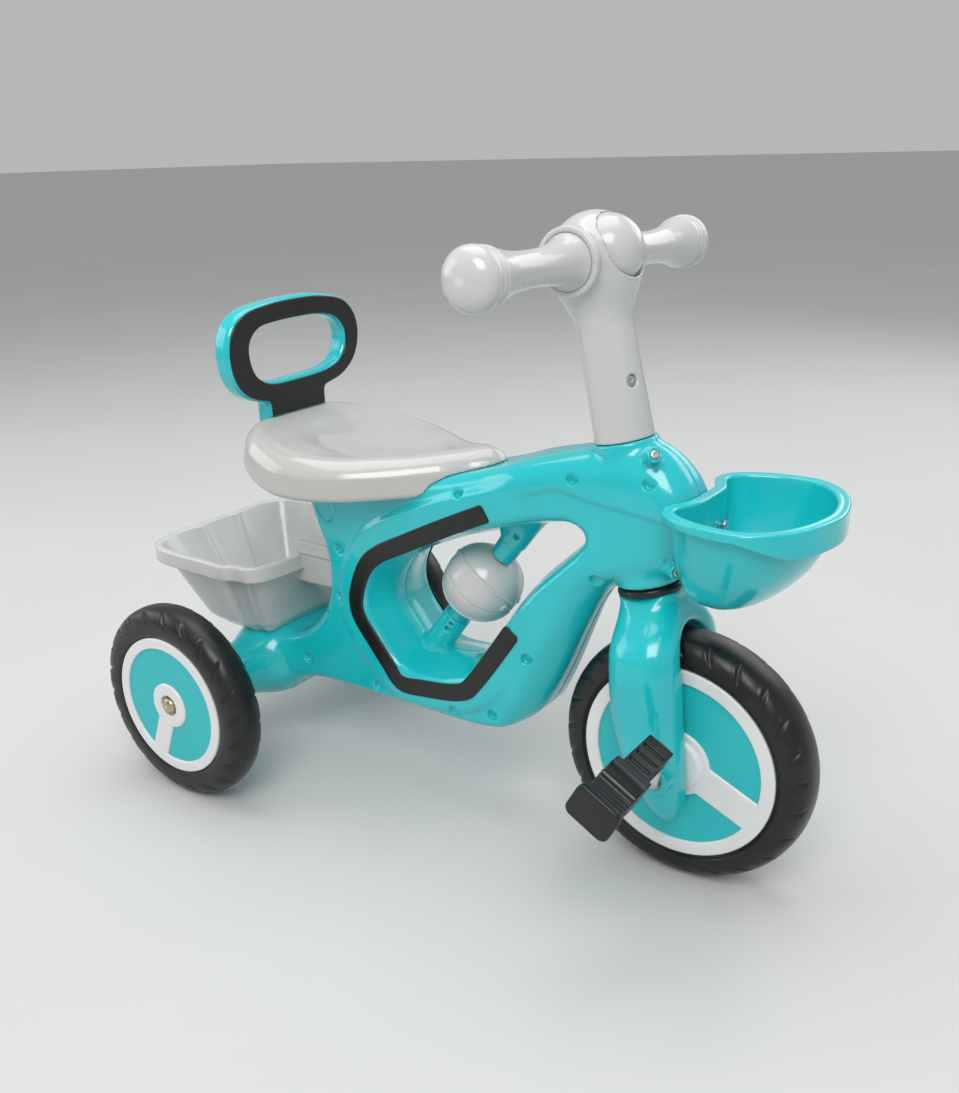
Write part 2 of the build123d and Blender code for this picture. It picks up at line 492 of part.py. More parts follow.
FRONT_TOP_Z, FRONT_LOW_Z = 352.0, 268.0
front_top = rounded([(490, -84), (545, -88), (592, -62), (602, 0), (592, 62), (545, 88), (490, 84)], 16)
front_low = rounded([(491, -38), (520, -42), (536, -28), (540, 0), (536, 28), (520, 42), (491, 38)], 8)
basket = tub(front_low, FRONT_LOW_Z, front_top, FRONT_TOP_Z, 0)
lip = offset(front_top, amount=4.0)
basket += extrude(Pos(0, 0, FRONT_TOP_Z - 14) * (lip & Pos(590, 0) * Rectangle(200, 300)), 14)
basket -= tub(front_low, FRONT_LOW_Z, front_top, FRONT_TOP_Z, BASKET_WALL)
skirt = offset(front_top, amount=1.8) - offset(front_top, amount=-2.5)
basket -= extrude(Pos(0, 0, FRONT_TOP_Z - 15) * skirt, 12)
for y in (-15, 15):
    basket -= Pos(475, y, FRONT_HOOK_Z) * Rot(0, 90, 0) * extrude(Circle(2.1), 25)
save("front_basket", basket)
save("front_basket_screws", *[Pos(496.5, y, FRONT_HOOK_Z) * Rot(0, -90, 0) * hook_screw for y in (-15, 15)])
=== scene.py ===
import json
import math

import bpy
import numpy as np
import openvdb
from mathutils import Matrix, Vector


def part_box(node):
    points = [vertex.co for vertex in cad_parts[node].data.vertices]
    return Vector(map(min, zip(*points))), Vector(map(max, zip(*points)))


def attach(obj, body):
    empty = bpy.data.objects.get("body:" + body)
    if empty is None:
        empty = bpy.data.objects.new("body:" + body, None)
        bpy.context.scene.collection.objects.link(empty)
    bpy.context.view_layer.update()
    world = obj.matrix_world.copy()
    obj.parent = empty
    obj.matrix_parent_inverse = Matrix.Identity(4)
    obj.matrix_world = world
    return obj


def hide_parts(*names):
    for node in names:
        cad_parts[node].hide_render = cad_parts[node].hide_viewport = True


# A children's tricycle in moulded plastic. Shapes are written as signed distance fields, in
# millimetres: x forwards from the rear axle, y to the rider's left, z up from the floor. They are
# meshed, moved onto their surface and brought into the frame's metres.

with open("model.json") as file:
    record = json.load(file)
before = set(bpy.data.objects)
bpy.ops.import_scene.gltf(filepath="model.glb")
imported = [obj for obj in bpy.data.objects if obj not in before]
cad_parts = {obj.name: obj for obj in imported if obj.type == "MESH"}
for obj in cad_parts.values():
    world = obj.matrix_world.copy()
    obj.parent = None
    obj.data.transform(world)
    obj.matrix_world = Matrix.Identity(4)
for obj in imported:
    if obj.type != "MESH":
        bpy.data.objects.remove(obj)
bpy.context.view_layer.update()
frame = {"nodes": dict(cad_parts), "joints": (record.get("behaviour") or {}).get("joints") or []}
NODES = frame["nodes"]
MM = 0.001


def middle(node):
    """Centre of a CAD node's box, in metres."""
    low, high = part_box(node)
    return (low + high) / 2


AXLE_X = middle("rear_axle").x
REAR_R = middle("rear_axle").z / MM
FRONT_R = middle("front_tyre").z / MM
WHEELBASE = (middle("front_tyre").x - AXLE_X) / MM
STEER_JOINT = next(j for j in frame["joints"] if j["child"] == "steering")
STEER_X = (STEER_JOINT["pos_m"][0] - AXLE_X) / MM
RAKE = math.radians(12.5)
STEER = Matrix.Translation((STEER_X, 0, FRONT_R)) @ Matrix.Rotation(-RAKE, 4, "Y")

# ================= meshing =================


def grid_of(low, high, step):
    """Open grids of x, y and z that span a box."""
    axes = [np.arange(a, b + step, step) for a, b in zip(low, high)]
    return np.meshgrid(*axes, indexing="ij", sparse=True)


def gradient(field, points, h):
    """Value and slope of a field at scattered points."""
    x, y, z = points.T
    slope = np.stack([field(x + h, y, z) - field(x - h, y, z),
                      field(x, y + h, z) - field(x, y - h, z),
                      field(x, y, z + h) - field(x, y, z - h)], axis=1) / (2 * h)
    return field(x, y, z), slope


def settle(field, points, step):
    """Moves points onto the zero surface of a field, in two rounds."""
    for _ in range(2):
        value, slope = gradient(field, points, 0.2 * step)
        size = np.maximum((slope ** 2).sum(1), 0.05)
        move = np.clip(value / size, -0.6 * step, 0.6 * step)
        points = points - move[:, None] * slope
    return points


def field_faces(field, low, high, step):
    """Points and quads of a field's zero surface, in millimetres."""
    values = field(*grid_of(low, high, step))
    shape = tuple(len(np.arange(a, b + step, step)) for a, b in zip(low, high))
    values = np.ascontiguousarray(np.broadcast_to(values, shape), dtype=np.float32)
    band = 3.0 * step
    volume = openvdb.FloatGrid(band)
    volume.copyFromArray(np.clip(values, -band, band))
    points, quads = volume.convertToQuads(0.0)
    points = np.asarray(points, float) * step + np.asarray(low, float)
    return settle(field, points, step), np.asarray(quads, int)


def outward(points, faces):
    """Faces turned so that their normals point out of the closed form."""
    a, b, c = points[faces[:, 0]], points[faces[:, 1]], points[faces[:, 2]]
    d = points[faces[:, -1]]
    volume = (np.cross(a, b) * c).sum() + (np.cross(a, c) * d).sum()
    return faces if volume > 0 else faces[:, ::-1]


def to_frame(points, place=None):
    """Millimetre points, moved by a placing matrix, in the frame's metres."""
    points = np.asarray(points, float)
    if place is not None:
        m = np.array(place)
        points = points @ m[:3, :3].T + m[:3, 3]
    points = points * MM
    points[:, 0] += AXLE_X
    return points


def add_mesh(name, points, faces, material, place=None):
    """A smooth-shaded mesh object from millimetre points."""
    mesh = bpy.data.meshes.new(name)
    points = to_frame(points, place)
    if isinstance(faces, np.ndarray):
        faces = outward(points, faces).tolist()
    mesh.from_pydata(points.tolist(), [], faces)
    mesh.validate()
    mesh.polygons.foreach_set("use_smooth", [True] * len(mesh.polygons))
    mesh.materials.append(material)
    piece = bpy.data.objects.new(name, mesh)
    bpy.context.scene.collection.objects.link(piece)
    return piece


def finish_piece(piece, body, node):
    """Rides the piece on its body and hides the CAD node it stands for."""
    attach(piece, body)
    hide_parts(node)


def carve(name, field, low, high, step, material, place=None):
    """A mesh object made from a field."""
    points, quads = field_faces(field, low, high, step)
    return add_mesh(name, points, quads, material, place)


# ================= field parts =================


def smooth_min(a, b, r):
    """Union of two fields with a fillet of about radius r."""
    h = np.maximum(r - np.abs(a - b), 0) / r
    return np.minimum(a, b) - h * h * h * r / 6


def round_max(a, b, r):
    """Intersection of two fields with its edge rounded to radius r."""
    u, v = np.maximum(a + r, 0), np.maximum(b + r, 0)
    return np.minimum(np.maximum(a, b), -r) + np.sqrt(u * u + v * v)


def length(*parts):
    """Length of a vector given by its parts."""
    total = 0
    for part in parts:
        total = total + part * part
    return np.sqrt(total)


def blend_step(t):
    """Smooth 0 to 1 ramp."""
    t = np.clip(t, 0, 1)
    return t * t * (3 - 2 * t)


def curve_points(points, per):
    """A smooth closed curve through the points (centripetal Catmull-Rom)."""
    pts = [np.array(p, float) for p in points]
    out = []
    for i in range(len(pts)):
        p0, p1, p2, p3 = pts[i - 1], pts[i], pts[(i + 1) % len(pts)], pts[(i + 2) % len(pts)]
        t1 = max(np.linalg.norm(p1 - p0), 1e-6) ** 0.5
        t2 = t1 + max(np.linalg.norm(p2 - p1), 1e-6) ** 0.5
        t3 = t2 + max(np.linalg.norm(p3 - p2), 1e-6) ** 0.5
        for k in range(per):
            t = t1 + (t2 - t1) * k / per
            a1 = (t1 - t) / t1 * p0 + t / t1 * p1
            a2 = (t2 - t) / (t2 - t1) * p1 + (t - t1) / (t2 - t1) * p2
            a3 = (t3 - t) / (t3 - t2) * p2 + (t - t2) / (t3 - t2) * p3
            b1 = (t2 - t) / t2 * a1 + t / t2 * a2
            b2 = (t3 - t) / (t3 - t1) * a2 + (t - t1) / (t3 - t1) * a3
            out.append((t2 - t) / (t2 - t1) * b1 + (t - t1) / (t2 - t1) * b2)
    return np.array(out)


def polygon_distance(poly, px, py):
    """Signed distance from points to a closed polygon, negative inside."""
    shape = np.broadcast(px, py).shape
    px = np.broadcast_to(px, shape).ravel()
    py = np.broadcast_to(py, shape).ravel()
    best = np.full(px.shape, 1e18)
    inside = np.zeros(px.shape, bool)
    for (ax, ay), (bx, by) in zip(poly, np.roll(poly, -1, axis=0)):
        ex, ey = bx - ax, by - ay
        wx, wy = px - ax, py - ay
        t = np.clip((wx * ex + wy * ey) / (ex * ex + ey * ey + 1e-12), 0, 1)
        best = np.minimum(best, (wx - t * ex) ** 2 + (wy - t * ey) ** 2)
        if ey != 0:
            crosses = ((ay > py) != (by > py)) & (px < ex * (py - ay) / ey + ax)
            inside ^= crosses
    distance = np.sqrt(best)
    return np.where(inside, -distance, distance).reshape(shape)


class Outline:
    """A smooth closed outline, with its signed distance tabulated at each millimetre."""

    MARGIN = 60

    def __init__(self, points, per=6):
        poly = curve_points(points, per)
        self.low = poly.min(0) - self.MARGIN
        count = np.ceil(poly.max(0) + self.MARGIN - self.low).astype(int) + 1
        gx = self.low[0] + np.arange(count[0])
        gy = self.low[1] + np.arange(count[1])
        self.table = polygon_distance(poly, gx[:, None], gy[None, :])

    def __call__(self, x, y):
        u, v = np.broadcast_arrays(x - self.low[0], y - self.low[1])
        top = self.table.shape
        u = np.clip(u, 1, top[0] - 3.001)
        v = np.clip(v, 1, top[1] - 3.001)
        i, j = u.astype(int), v.astype(int)
        wu, wv = cubic_weights(u - i), cubic_weights(v - j)
        total = 0
        for a in range(4):
            row = 0
            for b in range(4):
                row = row + wv[b] * self.table[i + a - 1, j + b - 1]
            total = total + wu[a] * row
        return total


def cubic_weights(t):
    """The four weights of a smooth cubic B-spline."""
    return ((1 - t) ** 3 / 6, (3 * t ** 3 - 6 * t ** 2 + 4) / 6,
            (-3 * t ** 3 + 3 * t ** 2 + 3 * t + 1) / 6, t ** 3 / 6)


def ramp(x, table):
    """Value read off a table of (x, value) points, smoothed between them."""
    xs = np.array([p[0] for p in table], float)
    vs = np.array([p[1] for p in table], float)
    i = np.clip(np.searchsorted(xs, x) - 1, 0, len(xs) - 2)
    t = np.clip((x - xs[i]) / (xs[i + 1] - xs[i]), 0, 1)
    slopes = np.gradient(vs, xs)
    h = xs[i + 1] - xs[i]
    h00, h10 = 2 * t ** 3 - 3 * t ** 2 + 1, t ** 3 - 2 * t ** 2 + t
    h01, h11 = -2 * t ** 3 + 3 * t ** 2, t ** 3 - t ** 2
    return h00 * vs[i] + h10 * h * slopes[i] + h01 * vs[i + 1] + h11 * h * slopes[i + 1]


def lathe(profile, turns=128):
    """Points and quads of a closed (radius, y) profile turned about the y axis through the origin."""
    count = len(profile)
    angles = np.linspace(0, 2 * math.pi, turns, endpoint=False)
    points = []
    for a in angles:
        for r, y in profile:
            points.append((r * math.cos(a), y, r * math.sin(a)))
    faces = []
    for i in range(turns):
        for k in range(count):
            a, b = i * count + k, i * count + (k + 1) % count
            c, d = ((i + 1) % turns) * count + (k + 1) % count, ((i + 1) % turns) * count + k
            faces.append((a, b, c, d))
    return np.array(points), np.array(faces)


def soften(profile, radius=0.8, steps=3):
    """A (radius, y) profile with its corners rounded."""
    pts = [np.array(p, float) for p in profile]
    out = []
    for i, p in enumerate(pts):
        before, after = pts[i - 1], pts[(i + 1) % len(pts)]
        u, v = before - p, after - p
        lu, lv = np.linalg.norm(u), np.linalg.norm(v)
        if p[0] < 1e-6 or lu < 1e-6 or lv < 1e-6:
            out.append(tuple(p))
            continue
        cut = min(radius, 0.45 * lu, 0.45 * lv)
        a, b = p + u / lu * cut, p + v / lv * cut
        for k in range(steps + 1):
            t = k / steps
            q = (1 - t) ** 2 * a + 2 * t * (1 - t) * p + t ** 2 * b
            out.append((max(q[0], 0.0), q[1]))
    return out


# ================= materials =================


def surface(name, colour, roughness, metallic=0.0, tint=0.05, patch=14.0, grain=700.0, relief=0.03,
            scuff=0.06, coat=0.0, rim=0.10):
    """A procedural finish: mottled colour, a painted highlight on convex edges, uneven gloss, scuffs and fine
    relief.
    """
    material = bpy.data.materials.new(name)
    material.use_nodes = True
    nodes, links = material.node_tree.nodes, material.node_tree.links
    shader = nodes["Principled BSDF"]
    shader.inputs["Metallic"].default_value = metallic
    if coat:
        shader.inputs["Coat Weight"].default_value = coat
        shader.inputs["Coat Roughness"].default_value = 0.08
    place = nodes.new("ShaderNodeTexCoord").outputs["Object"]

    def noise(scale, detail, stretch=None):
        texture = nodes.new("ShaderNodeTexNoise")
        texture.inputs["Scale"].default_value = scale
        texture.inputs["Detail"].default_value = detail
        if stretch is None:
            links.new(place, texture.inputs["Vector"])
        else:
            mapping = nodes.new("ShaderNodeMapping")
            mapping.inputs["Scale"].default_value = stretch
            mapping.inputs["Rotation"].default_value = (0.4, 0.7, 0.3)
            links.new(place, mapping.inputs["Vector"])
            links.new(mapping.outputs["Vector"], texture.inputs["Vector"])
        return texture.outputs["Fac"]

    def span(value, low, high, to_low, to_high):
        mapped = nodes.new("ShaderNodeMapRange")
        mapped.inputs["From Min"].default_value = low
        mapped.inputs["From Max"].default_value = high
        mapped.inputs["To Min"].default_value = to_low
        mapped.inputs["To Max"].default_value = to_high
        links.new(value, mapped.inputs["Value"])
        return mapped.outputs["Result"]

    mottle = nodes.new("ShaderNodeValToRGB")
    mottle.color_ramp.elements[0].position = 0.35
    mottle.color_ramp.elements[1].position = 0.68
    mottle.color_ramp.elements[0].color = (*[c * (1 - tint) for c in colour], 1)
    mottle.color_ramp.elements[1].color = (*[min(c * (1 + tint) + 0.01 * tint, 1) for c in colour], 1)
    links.new(noise(patch, 4), mottle.inputs["Fac"])

    # Painted highlight: convex edges, found by pointiness, are mixed towards a paler colour as if they caught
    # the light.
    edge = span(nodes.new("ShaderNodeNewGeometry").outputs["Pointiness"], 0.52, 0.60, 0.0, rim)
    edge_highlight = nodes.new("ShaderNodeMix")
    edge_highlight.data_type = "RGBA"
    edge_highlight.inputs["B"].default_value = (*[min(c * 1.25 + 0.06, 1) for c in colour], 1)
    links.new(edge, edge_highlight.inputs["Factor"])
    links.new(mottle.outputs["Color"], edge_highlight.inputs["A"])
    links.new(edge_highlight.outputs["Result"], shader.inputs["Base Color"])

    scratches = span(noise(30, 6, (1.0, 14.0, 3.0)), 0.56, 0.72, 0.0, scuff)
    gloss = span(noise(45, 5), 0.3, 0.7, max(roughness - 0.04, 0.02), roughness + 0.05)
    total = nodes.new("ShaderNodeMath")
    total.operation = "ADD"
    links.new(gloss, total.inputs[0])
    links.new(scratches, total.inputs[1])
    links.new(total.outputs["Value"], shader.inputs["Roughness"])

    fine = nodes.new("ShaderNodeBump")
    fine.inputs["Strength"].default_value = relief
    fine.inputs["Distance"].default_value = 0.0006
    links.new(noise(grain, 3), fine.inputs["Height"])
    swell = nodes.new("ShaderNodeBump")
    swell.inputs["Strength"].default_value = 0.25 * relief
    swell.inputs["Distance"].default_value = 0.02
    links.new(noise(22, 1), swell.inputs["Height"])
    links.new(fine.outputs["Normal"], swell.inputs["Normal"])
    links.new(swell.outputs["Normal"], shader.inputs["Normal"])
    return material


TEAL = surface("teal_moulding", (0.008, 0.520, 0.560), 0.17, coat=0.5, tint=0.04, rim=0.10)
GREY = surface("grey_moulding", (0.560, 0.560, 0.550), 0.20, coat=0.35, tint=0.03)
SEAT_GREY = surface("seat_moulding", (0.500, 0.495, 0.475), 0.15, coat=0.5, tint=0.03)
WHITE = surface("white_rim", (0.740, 0.750, 0.750), 0.24, coat=0.2, tint=0.02)
DISC = surface("teal_disc", (0.008, 0.470, 0.500), 0.30, tint=0.03)
BLACK = surface("black_moulding", (0.006, 0.006, 0.0065), 0.30, tint=0.15, relief=0.05, rim=0.04)
FOAM = surface("foam_tyre", (0.0055, 0.0055, 0.006), 0.33, tint=0.22, patch=60, grain=1400, relief=0.22,
               scuff=0.18, rim=0.0)
NYLON = surface("nylon", (0.560, 0.550, 0.510), 0.42, tint=0.04)
STEEL = surface("bright_steel", (0.640, 0.640, 0.630), 0.22, metallic=1.0, tint=0.08, patch=120)
ZINC = surface("zinc_steel", (0.560, 0.560, 0.550), 0.30, metallic=1.0, tint=0.15, patch=260)
BRASS = surface("passivated_steel", (0.520, 0.440, 0.300), 0.28, metallic=1.0, tint=0.15, patch=260)

NODE_LOOKS = {
    TEAL: ["frame_right_shell", "frame_left_shell", "fork", "push_handle", "ball_post_upper",
           "ball_post_lower", "front_basket"],
    DISC: ["front_inlay_right", "front_inlay_left", "rear_inlay_right", "rear_inlay_left"],
    GREY: ["stem", "stem_dome", "grip_right", "grip_left", "grip_cap_right", "grip_cap_left", "seat",
           "rear_basket", "ball_half_lower", "ball_half_upper"],
    WHITE: ["front_rim", "rear_rim_right", "rear_rim_left"],
    BLACK: ["trim_right", "trim_left", "push_handle_face", "headset_ring", "pedal_right", "pedal_left"],
    FOAM: ["front_tyre", "rear_tyre_right", "rear_tyre_left"],
    NYLON: ["headset_bush_lower", "headset_bush_upper", "fork_bushes", "rear_bush_right", "rear_bush_left",
            "rear_axle_spacers"],
    STEEL: ["steering_tube", "rear_axle", "crank_axle", "ball_spindle"],
    ZINC: ["frame_screws", "accessory_screws", "seat_screws", "push_handle_screws", "rear_basket_screws",
           "front_basket_screws", "rear_axle_nuts", "pedal_washers", "stem_bolt"],
}
for look, names in NODE_LOOKS.items():
    for name in names:
        mesh = NODES[name].data
        mesh.materials.clear()
        mesh.materials.append(look)


# ================= wheels =================


def matrix_at(x, y, z):
    """A placing matrix for a piece drawn round a point."""
    return Matrix.Translation((x, y, z))


REAR_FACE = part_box("rear_rim_left")[1].y / MM
REAR_HALF = (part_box("rear_tyre_left")[1].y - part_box("rear_tyre_left")[0].y) / MM / 2
FRONT_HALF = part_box("front_tyre")[1].y / MM
REAR_MID = REAR_FACE - REAR_HALF
FRONT_SPOKE, REAR_SPOKE = math.radians(-24), math.radians(-112)
CROWN = 21.0


def tyre_section(radius, half, bore, count=26):
    """Half of a tyre's section, from the middle of the crown to the bead, as (radius, y) points."""
    round_from = radius - CROWN
    section = []
    for k in range(count + 1):
        a = math.pi / 2 * k / count
        out, aside = max(math.cos(a), 0) ** (2 / 2.5), math.sin(a) ** (2 / 2.35)
        section.append((round_from + CROWN * out, half * aside))
    section += [(round_from - 3, half * 0.995), (bore + 3, half - 0.5), (bore + 1, half - 1.2)]
    return section


def tyre(name, radius, half, bore, place, notches, body):
    """A foam tyre: round crown, and on each shoulder curved notches with soft swells between."""
    side = tyre_section(radius, half, bore)
    profile = side + [(bore, half - 3), (bore, 3 - half)] + [(r, -y) for r, y in reversed(side)][:-1]
    turns = notches * 26
    points, faces = lathe(profile, turns)
    r = np.hypot(points[:, 0], points[:, 2])
    angle = np.arctan2(points[:, 2], points[:, 0])
    y = points[:, 1]
    pitch = 2 * math.pi / notches
    down = np.clip((radius - r) / CROWN, 0, 1.2)
    hand = np.where(y > 0, 0.5, 0.0)
    across = (angle / pitch + hand + 0.30 * down + 0.35 * down ** 2) % 1.0 - 0.5
    along = across * pitch * radius
    leaf = np.clip(1 - ((down - 0.40) / 0.30) ** 2, 0, 1) * (np.abs(y) > 0.3 * half)
    groove = 1.7 * np.sqrt(leaf) * np.exp(-(along / (0.9 + 1.3 * leaf)) ** 2)
    lip = 0.6 * leaf * np.exp(-((along - 3.6) / 2.2) ** 2)
    swell = 0.35 * np.cos(2 * math.pi * across) * np.clip(1 - np.abs(down - 0.45) / 0.4, 0, 1)
    shift = lip - groove - swell
    out = np.stack([points[:, 0] / r * 0.72, np.sign(y) * 0.7, points[:, 2] / r * 0.72], 1)
    points = points + out * shift[:, None]
    piece = add_mesh(name, points, faces, FOAM, place)
    finish_piece(piece, body, name)


def wheel_ring(r, y, inner, outer, half, depth):
    """The raised flat ring round both faces of a rim, with its barrel."""
    barrel = round_max(np.abs(r - (outer - 2)) - 2, np.abs(y) - half, 1.2)
    flat = np.abs(np.abs(y) - half + depth / 2) - depth / 2
    face = round_max(np.abs(r - (inner + outer) / 2) - (outer - inner) / 2, flat, 1.3)
    return np.minimum(barrel, face)


def spoke_bar(x, y, z, angle, reach, width, half):
    """One wide flat spoke from the hub out to the ring."""
    u = x * math.cos(angle) + z * math.sin(angle)
    v = -x * math.sin(angle) + z * math.cos(angle)
    flat = round_max(np.abs(v) - width / 2, np.abs(y) - half, 1.4)
    return np.maximum(flat, np.abs(u - reach / 2) - reach / 2)


def front_rim(x, y, z):
    """Front rim: both faces alike, with a two-tier hub."""
    r = length(x, z) + 0 * y
    body = wheel_ring(r, y, 76, 88.5, FRONT_HALF, 7)
    web = np.maximum(r - 86, np.abs(y) - 2)
    hub = round_max(r - 31, np.abs(y) - FRONT_HALF - 0.3, 2.2)
    tier = round_max(r - 24, np.abs(y) - FRONT_HALF - 3.2, 2.6)
    hub = smooth_min(hub, tier, 1.2)
    spoke = spoke_bar(x, y, z, FRONT_SPOKE, 80, 30, FRONT_HALF - 0.4)
    solid = np.minimum(np.minimum(body, web), smooth_min(hub, spoke, 1.5))
    return np.maximum(solid, 5.6 - r)


def rear_rim(x, y, z):
    """Rear rim, drawn with its outer face towards +y: a dished hub pocket and a ribbed inner face."""
    r = length(x, z) + 0 * y
    barrel = round_max(np.abs(r - 69.5) - 2, np.abs(y) - REAR_HALF, 1.2)
    face = round_max(np.abs(r - 66) - 5.5, np.abs(y - REAR_HALF + 3.5) - 3.5, 1.3)
    web = np.maximum(r - 70, np.abs(y) - 2)
    hub = round_max(r - 23.5, np.abs(y - REAR_HALF / 2) - REAR_HALF / 2, 2.0)
    back = round_max(r - 17, np.abs(y + REAR_HALF / 2) - REAR_HALF / 2, 1.5)
    spoke = spoke_bar(x, y, z, REAR_SPOKE, 62, 21, REAR_HALF - 0.4)
    spoke = np.maximum(spoke, -y)
    turn = np.arctan2(z, x) * 3 / math.pi
    rib = np.abs(turn - np.round(turn)) * math.pi / 3 * r - 1.6
    rib = np.maximum(np.maximum(rib, r - 69), np.maximum(y, -y - REAR_HALF + 5))
    solid = np.minimum(np.minimum(barrel, face), np.minimum(web, rib))
    solid = np.minimum(solid, np.minimum(smooth_min(hub, spoke, 1.5), back))
    pocket = round_max(r - 11, REAR_HALF - 5 - y, 1.5)
    return np.maximum(np.maximum(solid, -pocket), 9.02 - r)


tyre("front_tyre", FRONT_R, FRONT_HALF, 88.7, matrix_at(WHEELBASE, 0, FRONT_R), 25, "front_wheel")
piece = carve("front_rim", front_rim, (-93, -32, -93), (93, 32, 93), 1.2, WHITE,
              matrix_at(WHEELBASE, 0, FRONT_R))
finish_piece(piece, "front_wheel", "front_rim")
REAR_RIM_MESH = field_faces(rear_rim, (-76, -24, -76), (76, 24, 76), 1.1)


def rear_wheel(hand, sign):
    """One rear wheel's tyre and rim."""
    body = f"rear_wheel_{hand}"
    place = matrix_at(0, sign * REAR_MID, REAR_R)
    tyre(f"rear_tyre_{hand}", REAR_R, REAR_HALF, 71.7, place, 22, body)
    points, quads = REAR_RIM_MESH
    mirrored = points * np.array((1, sign, 1))
    piece = add_mesh(f"rear_rim_{hand}", mirrored, quads, WHITE, place)
    finish_piece(piece, body, f"rear_rim_{hand}")


rear_wheel("right", -1)
rear_wheel("left", 1)


# ================= fork, headset and stem =================
LEAD = Vector(STEER.inverted() @ Vector((WHEELBASE, 0, FRONT_R)))
FORK_SIDE = Outline([(2, -47), (-9, -38), (-17, -22), (-26, -2), (-31, 20), (-33.5, 46), (-33, 70),
                     (-30, 92), (-27.5, 112), (-26.5, 124), (-26.5, 140), (-26.5, 152), (27, 152),
                     (27.5, 140), (30.5, 124), (33, 105), (31.5, 73), (27, 44), (23.5, 14), (19, -18),
                     (12.5, -38)], per=8)
FORK_HALF = [(-60, 40), (-47, 50), (-36, 55.5), (-15, 60), (10, 61.6), (40, 62), (70, 61.6), (92, 61),
             (108, 57.5), (120, 49), (130, 38), (140, 29.5), (148, 26.8), (160, 26.6)]
FORK_ROUND = [(-60, 9), (-46, 11), (-30, 16), (0, 21), (40, 24), (90, 26), (125, 26), (150, 26)]
SLOT_HALF, ARCH_TOP = 29.0, 118.0
RING_LOW = 147.5


def fork_field(t, y, s):
    """The fork: two puffed blades that flow into a round neck, with an arched wheel slot."""
    half = ramp(s, FORK_HALF)
    edge = ramp(s, FORK_ROUND)
    body = round_max(FORK_SIDE(t, s), np.abs(y) - half, edge)
    boss = round_max(length(t - LEAD.x, s - LEAD.z) - 11.5, np.abs(y) - 63.4, 1.6)
    body = smooth_min(body, boss, 3.5)
    slot = length(y, np.maximum(s - (ARCH_TOP - SLOT_HALF), 0)) - SLOT_HALF
    body = round_max(body, -slot, 5)
    axle = length(t - LEAD.x, s - LEAD.z)
    hole = np.minimum(np.maximum(axle - 8, np.abs(y) - 57.5), axle - 5.7)
    tube = np.maximum(length(t, y) - 12.6, 128 - s)
    return np.maximum(np.maximum(body, s - RING_LOW), -np.minimum(hole, tube))


piece = carve("fork", fork_field, (-42, -66, -52), (42, 66, 152), 1.5, TEAL, STEER)
finish_piece(piece, "steering", "fork")


def turned(name, profile, place, material):
    """A mesh object turned about its local y axis."""
    points, faces = lathe(profile, 96)
    return add_mesh(name, points, faces, material, place)


UPRIGHT = Matrix.Rotation(math.pi / 2, 4, "X")
HEAD_LOW = 154.0
ring = [(12.6, RING_LOW + 0.15), (28.2, RING_LOW + 0.15), (28.2, HEAD_LOW - 0.15), (12.6, HEAD_LOW - 0.15)]
piece = turned("headset_ring", soften(ring, 2.6, 4), STEER @ UPRIGHT, BLACK)
finish_piece(piece, "steering", "headset_ring")

BAR_S = 426.0
HEAD_TOP = 278.6
HEAD_T = 2.0
STEM_R = [(250, 25.6), (279, 25.3), (300, 24.8), (330, 24.0), (360, 23.6), (385, 24.4), (400, 27),
          (426, 30)]
DOME_TILT = math.radians(13)
DOME_AXIS = Vector((math.cos(DOME_TILT), 0, math.sin(DOME_TILT)))
BOLT_S, BOLT_TURN = 326.0, math.radians(-24)


def stem_field(t, y, s):
    """The handlebar stem: tapered column, round head, and a raised collar each side."""
    up = s - BAR_S
    column = round_max(length(t, y) - ramp(s, STEM_R), HEAD_TOP - s, 1.2)
    column = np.maximum(column, up)
    head = length(t - HEAD_T, y, up) - 36.6
    body = smooth_min(column, head, 34)
    bar = length(t, up) + 0 * y
    arm = round_max(bar - 25.0, np.abs(y) - 39.5, 1.5)
    body = smooth_min(body, arm, 13)
    lip = round_max(bar - 27.4, np.abs(np.abs(y) - 38.6) - 3.4, 1.8)
    body = smooth_min(body, lip, 2.0)
    socket = round_max(bar - 22.4, 39.2 - np.abs(y), 0.6)
    body = round_max(body, -socket, 0.4)
    deep = np.maximum(bar - 16.1, 22.0 - np.abs(y))
    ahead = (t - HEAD_T) * DOME_AXIS.x + up * DOME_AXIS.z
    aside = length((t - HEAD_T) * DOME_AXIS.z - up * DOME_AXIS.x, y)
    well = np.maximum(aside - 28.1, 20.5 - ahead)
    body = round_max(body, -well, 0.4)
    tube = np.maximum(length(t, y) - 12.6, s - 395)
    u = t * math.cos(BOLT_TURN) + y * math.sin(BOLT_TURN)
    v = -t * math.sin(BOLT_TURN) + y * math.cos(BOLT_TURN)
    screw = np.maximum(length(v, s - BOLT_S) - 5.2, 20 - u)
    body = round_max(body, -screw, 0.8)
    return np.maximum(body, -np.minimum(tube, deep))


piece = carve("stem", stem_field, (-40, -46, 274), (46, 46, 466), 1.3, GREY, STEER)
finish_piece(piece, "steering", "stem")

dome = [(0, 20.7), (27.2, 20.7), (27.9, 21.4), (27.9, 22.2)]
dome += [(29.0 * math.sin(a), 12.9 + 29.0 * math.cos(a)) for a in np.linspace(1.26, 0.0, 16)]
TURN_FORWARD = Matrix.Rotation(-math.pi / 2, 4, "Z")
DOME_PLACE = STEER @ matrix_at(HEAD_T, 0, BAR_S) @ Matrix.Rotation(-DOME_TILT, 4, "Y") @ TURN_FORWARD
piece = turned("stem_dome", dome, DOME_PLACE, GREY)
finish_piece(piece, "steering", "stem_dome")

